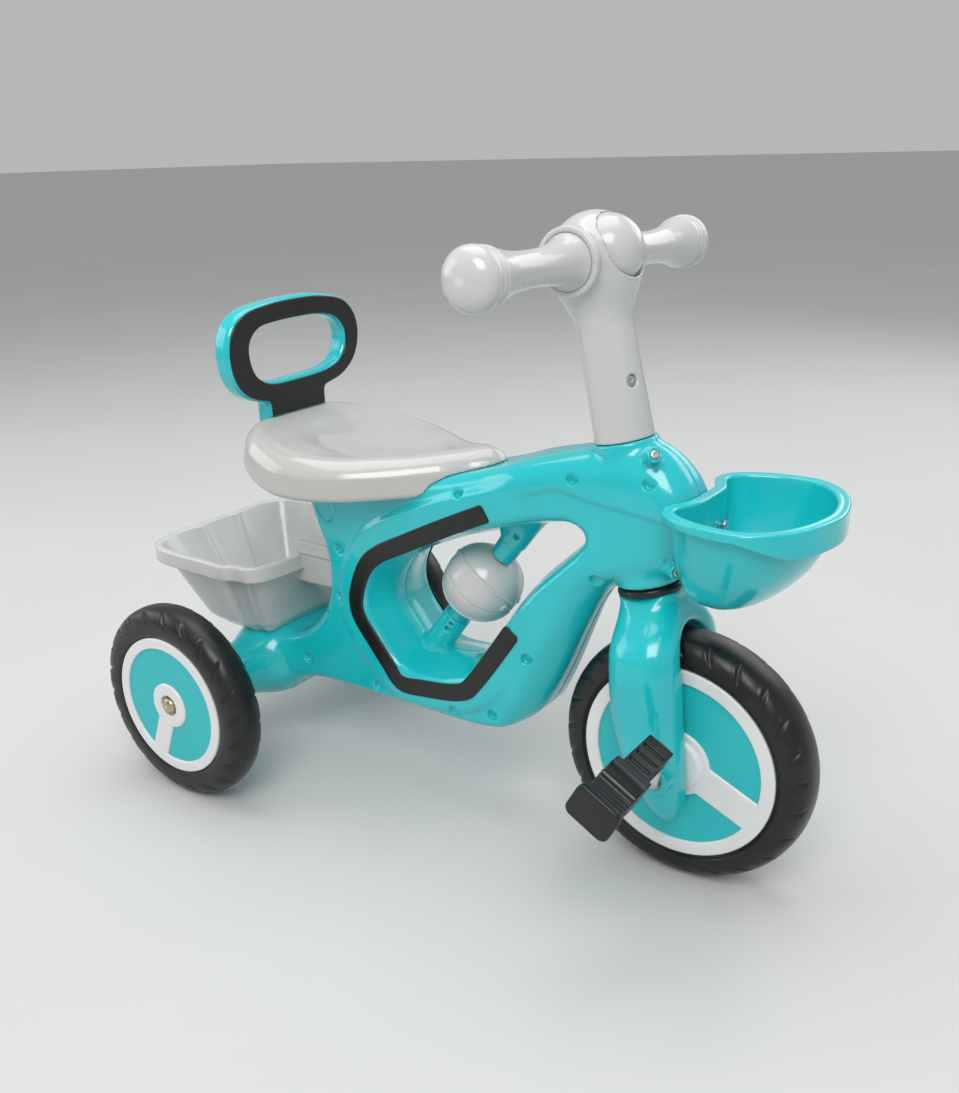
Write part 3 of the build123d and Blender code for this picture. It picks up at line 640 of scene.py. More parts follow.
GRIP_PROFILE = [(0, 22.2), (15.9, 22.2), (15.9, 39.4), (22.25, 39.4), (22.25, 41.8), (20.6, 44.5), (18.6, 49),
                (16.8, 56), (15.3, 66), (14.3, 78), (13.9, 92), (14.2, 106), (15.3, 120), (17.2, 132),
                (19.6, 142), (21.4, 148.5), (22.3, 151.2), (22.3, 153.4), (21.3, 154.0), (21.3, 155.2),
                (22.2, 155.8), (22.9, 156.4), (22.9, 158.8), (21.9, 159.4), (21.9, 160.6), (22.9, 161.2),
                (23.5, 162.2), (23.7, 164), (23.7, 166), (0, 166)]
CAP_PROFILE = [(0, 166.15), (23.7, 166.15), (23.5, 168.2), (22.6, 171.2), (20.4, 174.6), (16.6, 177.8),
               (11.2, 180.2), (5.4, 181.3), (0, 181.5)]
for hand, sign in (("right", -1), ("left", 1)):
    place = STEER @ matrix_at(0, 0, BAR_S) @ Matrix.Scale(sign, 4, (0, 1, 0))
    piece = turned(f"grip_{hand}", soften(GRIP_PROFILE, 0.6), place, GREY)
    finish_piece(piece, "steering", f"grip_{hand}")
    piece = turned(f"grip_cap_{hand}", soften(CAP_PROFILE, 1.2), place, GREY)
    finish_piece(piece, "steering", f"grip_cap_{hand}")


# ================= frame =================
BODY_HALF = 47.0
HOUSING_Y = 134.0
FRAME_SIDE = Outline([(-30, 84), (0, 72), (40, 87), (84, 97), (150, 99), (230, 99), (290, 100), (318, 107),
                      (338, 122), (352, 145), (366, 176), (380, 210), (394, 240), (407, 258), (430, 268),
                      (458, 276), (474, 288), (482, 308), (482, 338), (474, 360), (458, 378), (438, 388),
                      (420, 388), (398, 382), (370, 375), (333, 365), (288, 350), (240, 338), (190, 330),
                      (120, 326), (82, 325), (70, 314), (84, 286), (103, 246), (106, 216), (98, 184),
                      (76, 156), (44, 138), (0, 130), (-30, 116)])
OPENING = Outline([(155, 203), (159, 222), (173, 246), (192, 261), (225, 277), (258, 291), (306, 306),
                   (338, 316), (358, 321), (378, 322), (393, 313), (396, 299), (388, 286), (372, 270),
                   (346, 245), (322, 214), (300, 182), (284, 161), (270, 148), (254, 142), (232, 139),
                   (206, 139), (190, 146), (174, 164), (158, 187)])
TRIM_EDGE = Outline([(137, 200), (141, 219), (148, 236), (158, 251), (174, 264), (209, 282), (253, 304),
                     (298, 325), (345, 345), (400, 330), (400, 280), (345, 222), (333, 205), (310, 170),
                     (290, 142), (280, 131), (262, 124), (226, 119), (200, 117), (188, 122), (175, 138),
                     (158, 159), (141, 182)])
TRIM_WIDTH = 17.5
HALF_WIDTHS = [(-100, 47), (300, 47), (335, 44.5), (365, 39), (400, 34.5), (430, 33), (520, 33)]
SCREW_HOLES = [(124, 250), (122, 200), (98, 178), (68, 118), (164, 112), (259, 112), (300, 117), (338, 184),
               (400, 268), (270, 330), (381, 357), (448, 361)]
HOUSING_R = [(30, 42), (48, 37), (70, 31), (92, 28.6), (112, 29), (126, 31), (134, 32.5), (150, 33)]
CREASE = [(330, 338), (347, 344), (363, 348), (397, 342), (436, 337), (480, 331)]
FAR_BAND = 19.5
COLLAR_R = 27.5


def both_sides(points):
    """A closed outline from its points on the right, from the back centre line to the front one."""
    return points + [(x, -y) for x, y in reversed(points) if y != 0]


def steering_coordinates(x, z):
    """Distance ahead of the steering axis and station along it."""
    u, w = x - STEER_X, z - FRONT_R
    return u * math.cos(RAKE) + w * math.sin(RAKE), w * math.cos(RAKE) - u * math.sin(RAKE)


def side_face(x, z):
    """Half width of the frame's side face before its edges are rounded."""
    half = ramp(x, HALF_WIDTHS) + 0 * z
    border = OPENING(x, z)
    rear = blend_step((330 - x) / 40)
    half = half - 4.5 * rear * blend_step((border - FAR_BAND - 8) / 9)
    below = ramp(x, CREASE) - z
    ahead = blend_step((x - 318) / 35) * blend_step((484 - x) / 20)
    half = half - 2.6 * ahead * blend_step(below / 7) * blend_step((150 - below) / 60)
    half = half - 5.0 * ahead * blend_step((-below - 8) / 45)
    lower = blend_step((x - 300) / 30) * blend_step((290 - z) / 40)
    inside = -FRAME_SIDE(x, z)
    return half - lower * 7.5 * blend_step((27 - inside) / 24) - 1.5 * lower


def opening_draft(a):
    """How much the foot opening closes in towards the middle of the frame."""
    return 9.0 * blend_step((BODY_HALF - a) / 42)


def frame_body(x, y, z):
    """The moulded frame: body with its foot opening, steering head, collars and axle housing."""
    a = np.abs(y)
    side = FRAME_SIDE(x, z)
    half = side_face(x, z)
    edge = 9 + 9 * blend_step((z - 255) / 60) + 6 * blend_step((x - 395) / 45)
    edge = edge + 5 * blend_step((x - 300) / 40)
    edge = edge + 5 * blend_step((x - 300) / 30) * blend_step((270 - z) / 40)
    body = round_max(side, a - half, np.minimum(edge, 24))
    hole = OPENING(x, z) + 3.0 + opening_draft(a)
    body = round_max(body, -hole, 8.0)
    tube = length(x, z - REAR_R) - ramp(a, HOUSING_R)
    tube = round_max(tube, a - HOUSING_Y, 3.0)
    body = smooth_min(body, tube, 42)
    t, s = steering_coordinates(x, z)
    around = length(t, y)
    collar_top = round_max(around - COLLAR_R, np.abs(s - 262) - 16, 1.2)
    collar_low = round_max(around - COLLAR_R, np.abs(s - 172) - 18, 1.2)
    body = smooth_min(body, collar_top, 7)
    body = smooth_min(body, collar_low, 9)
    body = np.maximum(body, s - 278)
    below_head = round_max(round_max(around - 35, s - 154, 3.0), -27 - t + 0.5 * np.minimum(s - 154, 0), 9.0)
    body = round_max(body, -below_head, 4.0)
    bore = np.maximum(around - 16.1, np.maximum(153 - s, s - 279))
    return np.maximum(body, -bore)


def screw_holes(body, x, y, z):
    """The frame with its screw pockets: teardrops that open towards the low side."""
    a = np.abs(y)
    for hx, hz in SCREW_HOLES:
        half = float(side_face(np.float64(hx), np.float64(hz)))
        pocket = length(x - hx, z - hz) - 5.2
        pocket = round_max(pocket, (half - 3.4) - a + 0.35 * (z - hz), 0.6)
        body = round_max(body, -pocket, 0.8)
    return body


def rod(x, y, z, foot, way, long, r, corner):
    """A short round rod from a foot point along a direction."""
    d = Vector(way).normalized()
    px, py, pz = x - foot[0], y - foot[1], z - foot[2]
    along = px * d.x + py * d.y + pz * d.z
    away = np.sqrt(np.maximum(px * px + py * py + pz * pz - along * along, 0))
    return round_max(away - r, np.abs(along - long / 2) - long / 2, corner)


RIGHT_STUDS = [((446, -24, 381), (0.62, -0.64, 0.45), 13.0), ((467, -22, 290), (0.75, -0.65, 0.1), 12.0)]
LEFT_STUD = ((337, 30, 226), (-0.81, 0, 0.59), 20.0)


def raised_ring(body, x, z, a, cx, cz, r):
    """A low raised ring on the side face."""
    face = side_face(x, z)
    ring = round_max(np.abs(length(x - cx, z - cz) - r) - 1.3, np.abs(a - face) - 0.9, 0.8)
    return smooth_min(body, ring, 1.2)


def frame_half(sign):
    """The field of the right (-1) or left (1) moulding."""

    def field(x, y, z):
        body = frame_body(x, y, z)
        a = np.abs(y)
        body = screw_holes(body, x, y, z)
        body = raised_ring(body, x, z, a, 109, 290, 12.5)
        studs = RIGHT_STUDS if sign < 0 else [LEFT_STUD]
        for foot, way, long in studs:
            stud = rod(x, y, z, tuple(np.array(foot) - 6 * np.array(way)), way, long + 6, 6.2, 0.8)
            body = smooth_min(body, stud, 4)
            tip = np.array(foot) + (long - 1.6) * np.array(Vector(way).normalized())
            body = round_max(body, -rod(x, y, z, tuple(tip), way, 8, 4.4, 0.4), 0.5)
        slit = np.maximum(np.abs(x - 337 + 0.2 * (z - 367)) - 10, np.abs(y) - 1.3)
        slit = np.maximum(slit, 358 - z)
        body = np.maximum(body, -slit)
        axle = length(x, z - REAR_R) - 5.3
        body = np.maximum(body, -axle)
        seam = np.maximum(0.15 - sign * y, -sign * y + 0.15)
        return round_max(body, seam, 0.7)

    return field


for hand, sign in (("right", -1), ("left", 1)):
    low_y, high_y = (-138, 2) if sign < 0 else (-2, 138)
    name = f"frame_{hand}_shell"
    piece = carve(name, frame_half(sign), (-38, low_y, 62), (488, high_y, 402), 1.7, TEAL)
    finish_piece(piece, "frame", name)


def trim_field(x, y, z):
    """The black strip round the foot opening, drawn on the right side face."""
    band = np.abs(TRIM_EDGE(x, z) + TRIM_WIDTH / 2) - TRIM_WIDTH / 2
    upper_end = (x - 300) * 0.86 + (z - 318) * 0.50
    lower_end = (x - 325) * 0.62 + (z - 209) * 0.78
    end = np.where(z > 245, upper_end, np.where(x > 235, lower_end, -50.0))
    behind = np.where((z > 150) & (z < 330) & (x > 330), 50.0, -50.0)
    band = round_max(band, end, 3.0)
    band = np.maximum(band, behind)
    return round_max(band, np.abs(-y - side_face(x, z) - 0.1) - 1.0, 0.7)


TRIM_MESH = field_faces(trim_field, (130, -51, 112), (340, -43, 332), 0.9)
for hand, sign in (("right", 1), ("left", -1)):
    points, quads = TRIM_MESH
    piece = add_mesh(f"trim_{hand}", points * np.array((1, sign, 1)), quads, BLACK)
    finish_piece(piece, "frame", f"trim_{hand}")


# ================= spinning ball =================
BALL_R = 38.0
BALL_X, BALL_Z, SPINDLE_TILT = 263.0, 229.0, math.radians(36.8)
SPINDLE = matrix_at(BALL_X, 0, BALL_Z) @ Matrix.Rotation(SPINDLE_TILT, 4, "Y")


def ball_field(sign):
    """The lower (-1) or upper (1) half of the ball, with raised seams and a small boss each side."""

    def field(u, v, w):
        r = length(u, v, w)
        shell = np.abs(r - BALL_R + 2.2) - 1.5
        on = BALL_R / np.maximum(r, 1)
        pv, pw = v * on, w * on
        seam = np.abs(pw) - 26 * np.sqrt(np.abs(pv) / BALL_R)
        ridge = 1.5 * np.exp(-(seam / 1.7) ** 2)
        body = shell - ridge * (r > BALL_R - 2)
        d = (0.93 * u + 0.16 * w) + 0.33 * np.abs(v)
        aside = np.sqrt(np.maximum(r * r - d * d, 0))
        boss = round_max(aside - 3.6, d - BALL_R - 0.9, 0.8)
        boss = np.maximum(boss, BALL_R - 4 - r)
        body = smooth_min(body, boss, 1.2)
        body = np.maximum(body, 3.3 - length(u, v))
        return round_max(body, 0.12 - sign * w, 0.7)

    return field


for hand, sign in (("lower", -1), ("upper", 1)):
    low_w, high_w = (-42, 2) if sign < 0 else (-2, 42)
    name = f"ball_half_{hand}"
    piece = carve(name, ball_field(sign), (-43, -42, low_w), (43, 42, high_w), 0.95, GREY, SPINDLE)
    finish_piece(piece, "ball", name)


def post_field(sign, steps, holes):
    """A stepped round post along the spindle that grows out of the frame's opening."""

    def field(u, v, w):
        along = sign * w
        away = length(u, v)
        neck, root = [round_max(away - r, np.abs(along - (start + end) / 2) - (end - start) / 2, 1.3)
                      for start, end, r in steps]
        body = smooth_min(neck, root, 1.0)
        for hole_w, hole_r in holes:
            hole = np.maximum(length(along - hole_w, u - 3) - hole_r, v + 9)
            body = round_max(body, -hole, 0.5)
        x = BALL_X + u * math.cos(SPINDLE_TILT) + w * math.sin(SPINDLE_TILT)
        z = BALL_Z - u * math.sin(SPINDLE_TILT) + w * math.cos(SPINDLE_TILT)
        hole = OPENING(x, z) + 3.0 + opening_draft(np.abs(v))
        flare = np.exp(-np.maximum(-hole, 0) / 4.0) * 3.5
        body = body - flare * (away > 6)
        body = np.maximum(body, hole - 3.0)
        return np.maximum(body, 3.2 - away + 0 * w)

    return field


POST_STEPS = {1: [(39.6, 62, 11.9), (60, 130, 13.3)], -1: [(39.6, 50, 10.8), (49, 130, 13.6)]}
POST_HOLES = {1: [(74, 3.2)], -1: [(55, 2.2), (63, 3.0)]}
for hand, sign, low_w, high_w in (("upper", 1, 38, 126), ("lower", -1, -112, -38)):
    name = f"ball_post_{hand}"
    field = post_field(sign, POST_STEPS[sign], POST_HOLES[sign])
    piece = carve(name, field, (-22, -22, low_w), (22, 22, high_w), 1.1, TEAL, SPINDLE)
    finish_piece(piece, "frame", name)


# ================= seat and push handle =================
SEAT_PLAN = Outline(both_sides([(14, 0), (15, -30), (24, -62), (48, -88), (80, -100), (112, -104), (145, -98),
                                (178, -82), (210, -60), (245, -38), (276, -24), (290, -12), (293, 0)]))
SEAT_TOP = [(-20, 376), (20, 374), (45, 369), (80, 360), (120, 354), (160, 352), (200, 354), (240, 359),
            (275, 363), (300, 364), (330, 364)]
SEAT_LOW = [(-20, 350), (20, 341), (50, 326), (85, 316), (120, 313.5), (150, 313.5), (190, 315), (225, 318),
            (250, 322), (270, 330), (285, 339), (300, 346), (330, 348)]
HANDLE_LOW_X, HANDLE_HIGH_X = 18.0, 40.0
NECK_HALF = 39.0


def seat_field(x, y, z):
    """The seat: dished top, rolled edges that grow towards the rim, open underneath."""
    plan = SEAT_PLAN(x, y) + 0.22 * np.maximum(z - 338, 0)
    dish = 5.5 * blend_step((60 - np.abs(y)) / 60) * blend_step((x - 40) / 60) * blend_step((270 - x) / 90)
    top = z - ramp(x, SEAT_TOP) + dish
    skin = round_max(plan, top, 19)
    low = ramp(x, SEAT_LOW) - z
    solid = round_max(skin, low, 6.5)
    space = round_max(plan + 4.0, top + 4.0, 15)
    solid = round_max(solid, -space, 1.2)
    slot = np.maximum(np.abs(x - 29) - 11.2, np.abs(y) - NECK_HALF - 0.3)
    collar = round_max(np.maximum(np.abs(x - 29) - 14, np.abs(y) - NECK_HALF - 3), 333 - z, 1.0)
    collar = np.maximum(collar, space - 1)
    solid = np.minimum(solid, collar)
    for px in (95, 200):
        for py in (-24, 24):
            post = np.maximum(length(x - px, y - py) - 7, np.maximum(331.5 - z, space - 1))
            post = np.maximum(post, 1.95 - length(x - px, y - py))
            solid = np.minimum(solid, post)
    solid = np.maximum(solid, 0.4 - frame_body(x, y, z))
    return np.maximum(solid, -np.maximum(slot, 336.8 - z))


piece = carve("seat", seat_field, (8, -110, 308), (300, 110, 384), 1.5, SEAT_GREY)
finish_piece(piece, "frame", "seat")

LOOP_OUT = Outline([(-87, 438), (-81, 461), (-64, 475), (-34, 481), (8, 483), (46, 481), (76, 473), (92, 456),
                    (96, 434), (88, 411), (70, 396), (46, 389), (0, 385), (-46, 386), (-70, 396),
                    (-83, 413)])
LOOP_IN = Outline([(-60, 436), (-57, 448), (-46, 457), (-26, 460), (6, 461), (38, 460), (61, 454), (72, 443),
                   (74, 430), (66, 415), (50, 407.5), (0, 404), (-38, 406), (-54, 416)])


def loop_face(y, z):
    """Signed distance, in the handle's plane, to the loop and its neck."""
    neck = np.maximum(np.abs(y) - NECK_HALF, z - 400)
    whole = smooth_min(LOOP_OUT(y, z), neck, 10)
    return round_max(whole, -LOOP_IN(y, z), 0.5)


def handle_field(x, y, z):
    """The push handle's teal body."""
    mid, half = (HANDLE_LOW_X + HANDLE_HIGH_X) / 2, (HANDLE_HIGH_X - HANDLE_LOW_X) / 2
    body = round_max(loop_face(y, z), np.abs(x - mid) - half, 6.5)
    body = np.maximum(body, 337.2 - z)
    for py in (-25, 25):
        body = np.maximum(body, -np.maximum(length(x - mid, y - py) - 1.95, z - 353))
    return body


def handle_face_field(x, y, z):
    """The proud black grip on the front of the loop and neck."""
    face = loop_face(y, z) + 2.0
    face = round_max(face, np.abs(x - HANDLE_HIGH_X) - 1.6, 1.2)
    return np.maximum(face, 371 - z)


piece = carve("push_handle", handle_field, (14, -92, 334), (44, 100, 490), 1.3, TEAL)
finish_piece(piece, "frame", "push_handle")
piece = carve("push_handle_face", handle_face_field, (36, -90, 368), (44, 98, 488), 0.9, BLACK)
finish_piece(piece, "frame", "push_handle_face")


# ================= baskets =================


REAR_RIM = Outline(both_sides([(-107, 0), (-107, -18), (-104, -26), (-107, -34), (-107, -66), (-99, -88),
                               (-82, -99), (-50, -102), (-10, -102), (8, -103), (17, -102), (24, -97),
                               (33, -95), (43, -94), (51, -86), (56, -72), (58, -54), (58, -34), (58, 0)]),
                   per=5)
REAR_TOP, REAR_NECK_TOP = 229.0, 243.0
TUB_FLOOR = 133.5
WALL = 2.8


def shrunk(outline, x, y, centre, kx, ky):
    """An outline drawn smaller about a point on the centre line."""
    return outline((x - centre) / kx + centre, y / ky) * np.minimum(kx, ky)


def rear_tub(x, y, z, inset):
    """The rear basket's tapered, fluted outside, moved inwards by the inset."""
    down = np.clip((REAR_TOP - z) / (REAR_TOP - TUB_FLOOR), 0, 1)
    kx = 1 - 0.46 * down - 0.10 * blend_step((down - 0.8) / 0.2)
    ky = 1 - 0.38 * down - 0.08 * blend_step((down - 0.8) / 0.2)
    side = shrunk(REAR_RIM, x, y, -14.0 + 10 * down, kx, ky) + 1.6 + inset
    return round_max(side, TUB_FLOOR + inset - z, 7.0)


def rear_basket_field(x, y, z):
    """The rear basket: scalloped rim band, fluted tub and a keyhole neck that hooks on the frame."""
    rim = REAR_RIM(x, y)
    outer = np.maximum(rear_tub(x, y, z, 0.0), z - REAR_TOP)
    neck_plan = round_max(np.abs(x - 72) - 28.6, np.abs(y) - 32.5, 6.0)
    neck = round_max(neck_plan, 196 - z, 5)
    neck = np.maximum(neck, z - REAR_NECK_TOP)
    outer = np.minimum(outer, neck)
    band = round_max(np.abs(rim - 1.0) - 1.5, np.abs(z - REAR_TOP + 8) - 8, 1.2)
    ledge = round_max(np.abs(rim + 1.0) - 3.2, np.abs(z - REAR_TOP + 1.5) - 1.5, 1.2)
    neck_lip = round_max(np.abs(neck_plan - 0.6) - 1.7, np.abs(z - REAR_NECK_TOP + 7) - 7, 1.2)
    neck_lip = np.maximum(neck_lip, np.maximum(52 - x, x - 101))
    solid = np.minimum(np.minimum(outer, np.minimum(band, ledge)), neck_lip)
    space = rear_tub(x, y, z, WALL)
    inner_neck = round_max(round_max(np.abs(x - 60) - 37.8, np.abs(y) - 29.7, 4.5), 199 - z, 4)
    space = np.minimum(space, inner_neck)
    return round_max(solid, -space, 1.0)


piece = carve("rear_basket", rear_basket_field, (-114, -108, 130), (104, 108, 247), 1.5, GREY)
finish_piece(piece, "frame", "rear_basket")

FRONT_RIM = Outline(both_sides([(486, 0), (485, -24), (480, -36), (476, -47), (478, -59), (488, -69),
                                (506, -77), (530, -81), (549, -79), (564, -69), (576, -54), (585, -34),
                                (590, -12), (591, 0)]))
FRONT_TOP, FRONT_FLOOR = 351.5, 266.0


def front_tub(x, y, z, inset):
    """The front basket's bowl: upright back, sides that draw in and a front that sweeps under."""
    down = np.clip((FRONT_TOP - z) / (FRONT_TOP - FRONT_FLOOR), 0, 1)
    kx = 1 - 0.10 * down - 0.46 * down ** 2.6
    ky = 1 - 0.18 * down - 0.36 * down ** 3
    side = shrunk(FRONT_RIM, x, y, 489.0, kx, ky) + 3.2 + inset
    return round_max(side, FRONT_FLOOR + inset - z, 12.0 - inset)


def front_basket_field(x, y, z):
    """The front basket: rolled rim with a skirt that deepens towards the front."""
    rim = FRONT_RIM(x, y)
    outer = np.maximum(front_tub(x, y, z, 0.0), z - FRONT_TOP)
    roll = round_max(np.abs(rim + 1.2) - 5.0, np.abs(z - FRONT_TOP + 1.9) - 1.9, 1.8)
    depth = 7.5 + 14.5 * blend_step((x - 540) / 46)
    skirt = round_max(np.abs(rim - 2.4) - 1.3, np.abs(z - FRONT_TOP + depth / 2) - depth / 2, 1.1)
    solid = smooth_min(outer, smooth_min(roll, skirt, 2.0), 2.0)
    return round_max(solid, -front_tub(x, y, z, WALL), 1.4)


piece = carve("front_basket", front_basket_field, (466, -95, 262), (606, 95, 356), 1.3, TEAL)
finish_piece(piece, "frame", "front_basket")


# ================= pedals, nuts and screws =================
PEDAL_IN = 82.0
PEDAL_TILT = math.radians(29)


def pedal_field(q, p, n):
    """A pedal along p from its inner end: ribbed shank, raised hump, dished tread and end flange."""
    shank = round_max(np.maximum(np.abs(q) - 12, np.abs(n) - 10), np.abs(p - 25) - 25, 1.5)
    for start in (15, 27, 39):
        notch = round_max(np.abs(p - start) - 2.2, 7.6 - n, 0.6)
        notch = np.maximum(notch, np.abs(q) - 9.5)
        shank = round_max(shank, -notch, 0.6)
    side_slot = np.maximum(np.maximum(np.abs(p - 27) - 15, np.abs(n) - 4.5), 9.5 - np.abs(q))
    shank = round_max(shank, -side_slot, 0.8)
    rise = 11.5 + 2.6 * np.exp(-((p - 62) / 10) ** 2) - 3.0 * blend_step((p - 66) / 16)
    wide = 16.5 - 0.8 * blend_step((p - 70) / 20)
    tread = round_max(np.maximum(np.abs(q) - wide, np.abs(n) - rise), np.abs(p - 74) - 27, 3.0)
    flange = round_max(np.abs(q) - 20, np.abs(n) - 15.5, 7.0)
    flange = round_max(flange, np.abs(p - 102.5) - 3.3, 1.6)
    body = smooth_min(smooth_min(shank, tread, 3.0), flange, 3.5)
    grip = 0.35 * np.cos(p * 2 * math.pi / 4.4) * (np.abs(p - 84) < 12) * (n > 4)
    body = body + grip
    return np.maximum(body, np.minimum(5.1 - length(q, n), 99 - p))


PEDAL_MESH = field_faces(pedal_field, (-23, -3, -19), (23, 109, 19), 0.9)
for hand, sign in (("right", -1), ("left", 1)):
    pin = middle(f"pedal_{hand}")
    place = Matrix.Translation(((pin.x - AXLE_X) / MM, sign * PEDAL_IN, pin.z / MM))
    place = place @ Matrix.Rotation(PEDAL_TILT, 4, "Y")
    points, quads = PEDAL_MESH
    piece = add_mesh(f"pedal_{hand}", points * np.array((1, sign, 1)), quads, BLACK, place)
    finish_piece(piece, f"pedal_{hand}", f"pedal_{hand}")

NUT_PROFILE = [(5.05, 171.6), (9.2, 171.6), (9.4, 172.1), (9.2, 172.7), (8.1, 173.0), (8.0, 174.5),
               (7.3, 176.6), (5.6, 178.0), (3.0, 178.8), (0, 179.0), (0, 176.1), (5.05, 176.1)]
nut_points, nut_faces = [], []
for sign in (-1, 1):
    points, faces = lathe([(r, sign * y) for r, y in NUT_PROFILE], 64)
    nut_faces.append(outward(points, faces) + len(nut_points) * len(points))
    nut_points.append(points)
piece = add_mesh("rear_axle_nuts", np.concatenate(nut_points), np.concatenate(nut_faces).tolist(), BRASS,
                 matrix_at(0, 0, REAR_R))
finish_piece(piece, "frame", "rear_axle_nuts")


def screw_mesh(head_r, head_h, shank_r, shank):
    """A pan-head screw along +z with a cross recess; the head's underside is at z = 0."""

    def field(x, y, z):
        away = length(x, y)
        crown = z - head_h * (1 - 0.25 * (away / head_r) ** 2)
        head = round_max(round_max(away - head_r, crown, 0.5), -z, 0.2)
        arm = np.minimum(np.maximum(np.abs(x) - 0.17 * head_r, np.abs(y) - 0.62 * head_r),
                         np.maximum(np.abs(y) - 0.17 * head_r, np.abs(x) - 0.62 * head_r))
        cross = np.maximum(arm, 0.45 * head_h + 0.5 * away - z)
        return np.maximum(head, -cross)

    step = head_r / 11
    points, quads = field_faces(field, (-head_r - 3 * step, -head_r - 3 * step, -3 * step),
                                (head_r + 3 * step, head_r + 3 * step, head_h + 3 * step), step)
    quads = outward(points, quads)
    pitch = max(shank_r * 0.7, 0.9)
    turns = int((shank - 1.2) / pitch)
    thread = [(0, 0.1), (shank_r, 0.1)]
    for k in range(turns):
        thread += [(shank_r, -pitch * (k + 0.2)), (shank_r * 0.78, -pitch * (k + 0.6))]
    thread += [(shank_r * 0.6, -shank + 1), (0, -shank)]
    rod_points, rod_faces = lathe(thread, 20)
    rod_faces = outward(rod_points, rod_faces)
    rod_points = rod_points[:, (0, 2, 1)] * np.array((1, -1, 1))
    return np.concatenate([points, rod_points]), np.concatenate([quads, rod_faces + len(points)])


def screws(name, body, places, head_r, head_h, shank_r, shank, within=None):
    """Copies of a screw at (point, direction) places, as one piece."""
    points, quads = screw_mesh(head_r, head_h, shank_r, shank)
    all_points, all_faces = [], []
    for k, (point, way) in enumerate(places):
        turn = Vector(way).to_track_quat("Z", "Y").to_matrix() @ Matrix.Rotation(0.7 + 1.1 * k, 3, "Z")
        all_points.append(points @ np.array(turn).T + np.array(point))
        all_faces.append(quads + k * len(points))
    piece = add_mesh(name, np.concatenate(all_points), np.concatenate(all_faces).tolist(), ZINC,
                     within)
    finish_piece(piece, body, name)


def frame_screw_places():
    """The twelve case screws, put in from the rider's left."""
    places = []
    for x, z in SCREW_HOLES:
        half = float(ramp(np.float64(x), HALF_WIDTHS))
        places.append(((x, min(half, float(side_face(np.float64(x), np.float64(z)))) - 6.0, z), (0, 1, 0)))
    return places


screws("frame_screws", "frame", frame_screw_places(), 3.6, 2.2, 1.55, 44)
stud_places = []
for foot, way, long in RIGHT_STUDS + [LEFT_STUD]:
    d = np.array(Vector(way).normalized())
    stud_places.append((tuple(np.array(foot) + d * (long - 1.5)), tuple(d)))
screws("accessory_screws", "frame", stud_places, 3.7, 2.2, 1.6, 6)
seat_places = [((x, y, 322.0), (0, 0, -1)) for x in (95, 200) for y in (-24, 24)]
screws("seat_screws", "frame", seat_places, 4.0, 2.4, 1.85, 18)
screws("push_handle_screws", "frame", [((29, y, 330.0), (0, 0, -1)) for y in (-25, 25)], 4.0, 2.4, 1.85, 20)
screws("rear_basket_screws", "frame", [((98.0, y, 216.0), (-1, 0, 0)) for y in (-15, 15)], 4.0, 2.4, 2.0, 14)
screws("front_basket_screws", "frame", [((494.5, y, 322.0), (1, 0, 0)) for y in (-15, 15)], 4.0, 2.4, 2.0, 16)
bolt_way = (math.cos(BOLT_TURN), math.sin(BOLT_TURN), 0)
bolt_foot = tuple(20.2 * c for c in bolt_way[:2]) + (BOLT_S,)
screws("stem_bolt", "steering", [(bolt_foot, bolt_way)], 4.6, 2.2, 2.8, 7, STEER)


# ================= floor, light and camera =================


def plain_floor():
    """A large pale matt floor."""
    mesh = bpy.data.meshes.new("studio_floor")
    reach = 60.0
    mesh.from_pydata([(-reach, -reach, 0), (reach, -reach, 0), (reach, reach, 0), (-reach, reach, 0)], [],
                     [(0, 1, 2, 3)])
    paint = surface("studio_paint", (0.62, 0.62, 0.61), 0.75, tint=0.015, patch=2, relief=0.02, scuff=0.0,
                    rim=0.0)
    mesh.materials.append(paint)
    floor = bpy.data.objects.new("studio_floor", mesh)
    bpy.context.scene.collection.objects.link(floor)


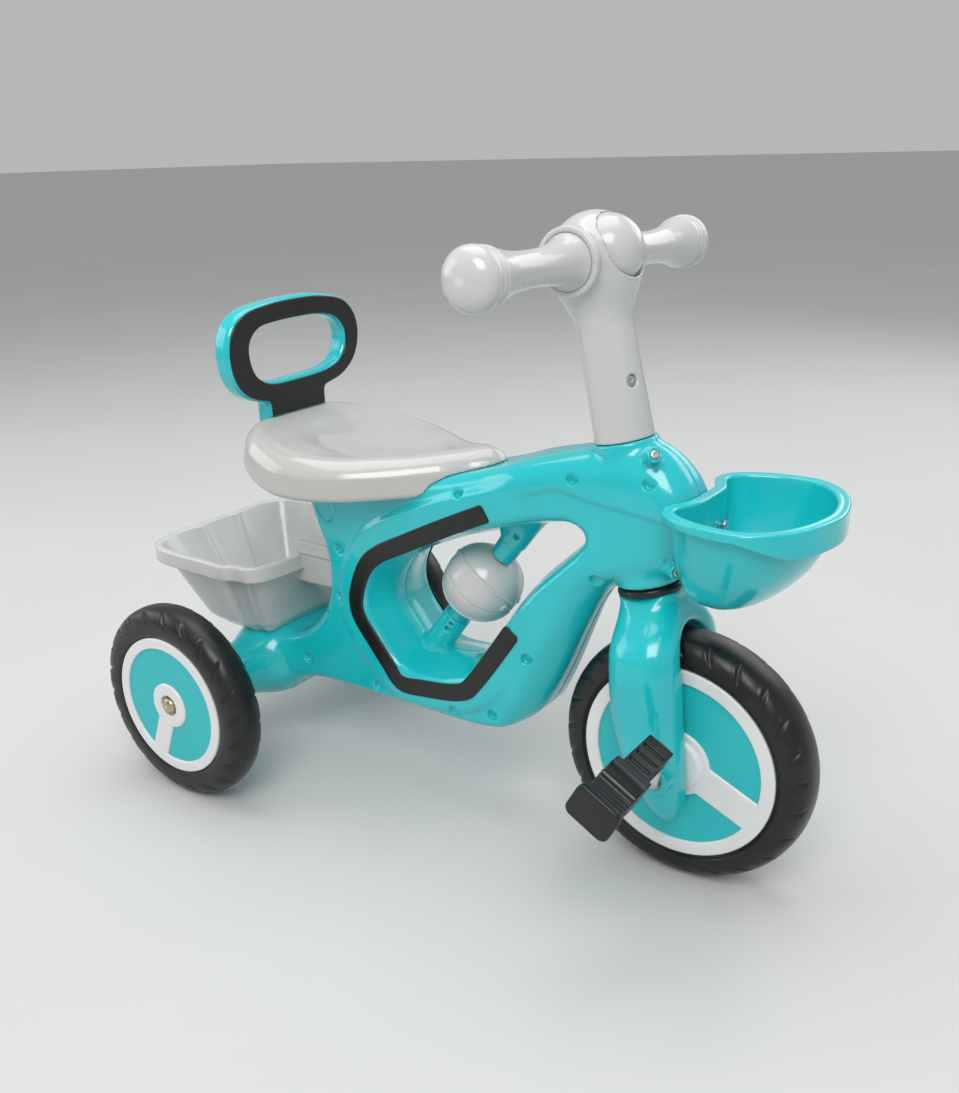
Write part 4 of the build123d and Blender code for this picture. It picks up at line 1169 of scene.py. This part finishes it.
def soft_light(name, place, aim, size, power, colour=(1, 1, 1)):
    """A large rectangular studio light."""
    data = bpy.data.lights.new(name, "AREA")
    data.shape = "RECTANGLE"
    data.size, data.size_y = size
    data.energy = power
    data.color = colour
    light = bpy.data.objects.new(name, data)
    light.location = place
    light.rotation_euler = (Vector(aim) - Vector(place)).to_track_quat("-Z", "Y").to_euler()
    bpy.context.scene.collection.objects.link(light)


plain_floor()
soft_light("key", (0.9, -1.6, 2.1), (0.0, 0.0, 0.25), (1.5, 1.2), 36, (1.0, 0.985, 0.96))
soft_light("overhead", (-0.3, 0.3, 2.6), (0.0, 0.0, 0.2), (2.2, 2.0), 30, (0.97, 0.985, 1.0))
soft_light("fill", (-2.2, -1.0, 1.2), (0.0, 0.0, 0.3), (1.6, 1.4), 13, (0.96, 0.98, 1.0))
soft_light("back", (0.6, 2.4, 1.5), (0.0, 0.0, 0.3), (2.0, 1.2), 13)

world = bpy.data.worlds.new("studio_air")
world.use_nodes = True
world.node_tree.nodes["Background"].inputs["Color"].default_value = (0.93, 0.95, 0.97, 1)
world.node_tree.nodes["Background"].inputs["Strength"].default_value = 0.50
bpy.context.scene.world = world

CAMERA_PLACE = Vector((823.7, -787.2, 614.0))
CAMERA_YAW, CAMERA_PITCH, CAMERA_ROLL = 0.6215, -0.3469, -0.0257
CAMERA_LENS = 36.15


def photo_camera():
    """The camera: in front on the right, a little above the handlebar, looking back and down."""
    ahead = Vector((-math.sin(CAMERA_YAW) * math.cos(CAMERA_PITCH),
                    math.cos(CAMERA_YAW) * math.cos(CAMERA_PITCH), math.sin(CAMERA_PITCH)))
    level = Vector((math.cos(CAMERA_YAW), math.sin(CAMERA_YAW), 0))
    above = level.cross(ahead)
    right = math.cos(CAMERA_ROLL) * level + math.sin(CAMERA_ROLL) * above
    up = -math.sin(CAMERA_ROLL) * level + math.cos(CAMERA_ROLL) * above
    data = bpy.data.cameras.new("camera")
    data.lens = CAMERA_LENS
    data.sensor_width = 36.0
    camera = bpy.data.objects.new("camera", data)
    turn = Matrix((right, up, -ahead)).transposed().to_4x4()
    camera.matrix_world = Matrix.Translation(CAMERA_PLACE * MM + Vector((AXLE_X, 0, 0))) @ turn
    bpy.context.scene.collection.objects.link(camera)
    bpy.context.scene.camera = camera


photo_camera()
bpy.context.scene.view_settings.view_transform = "Standard"
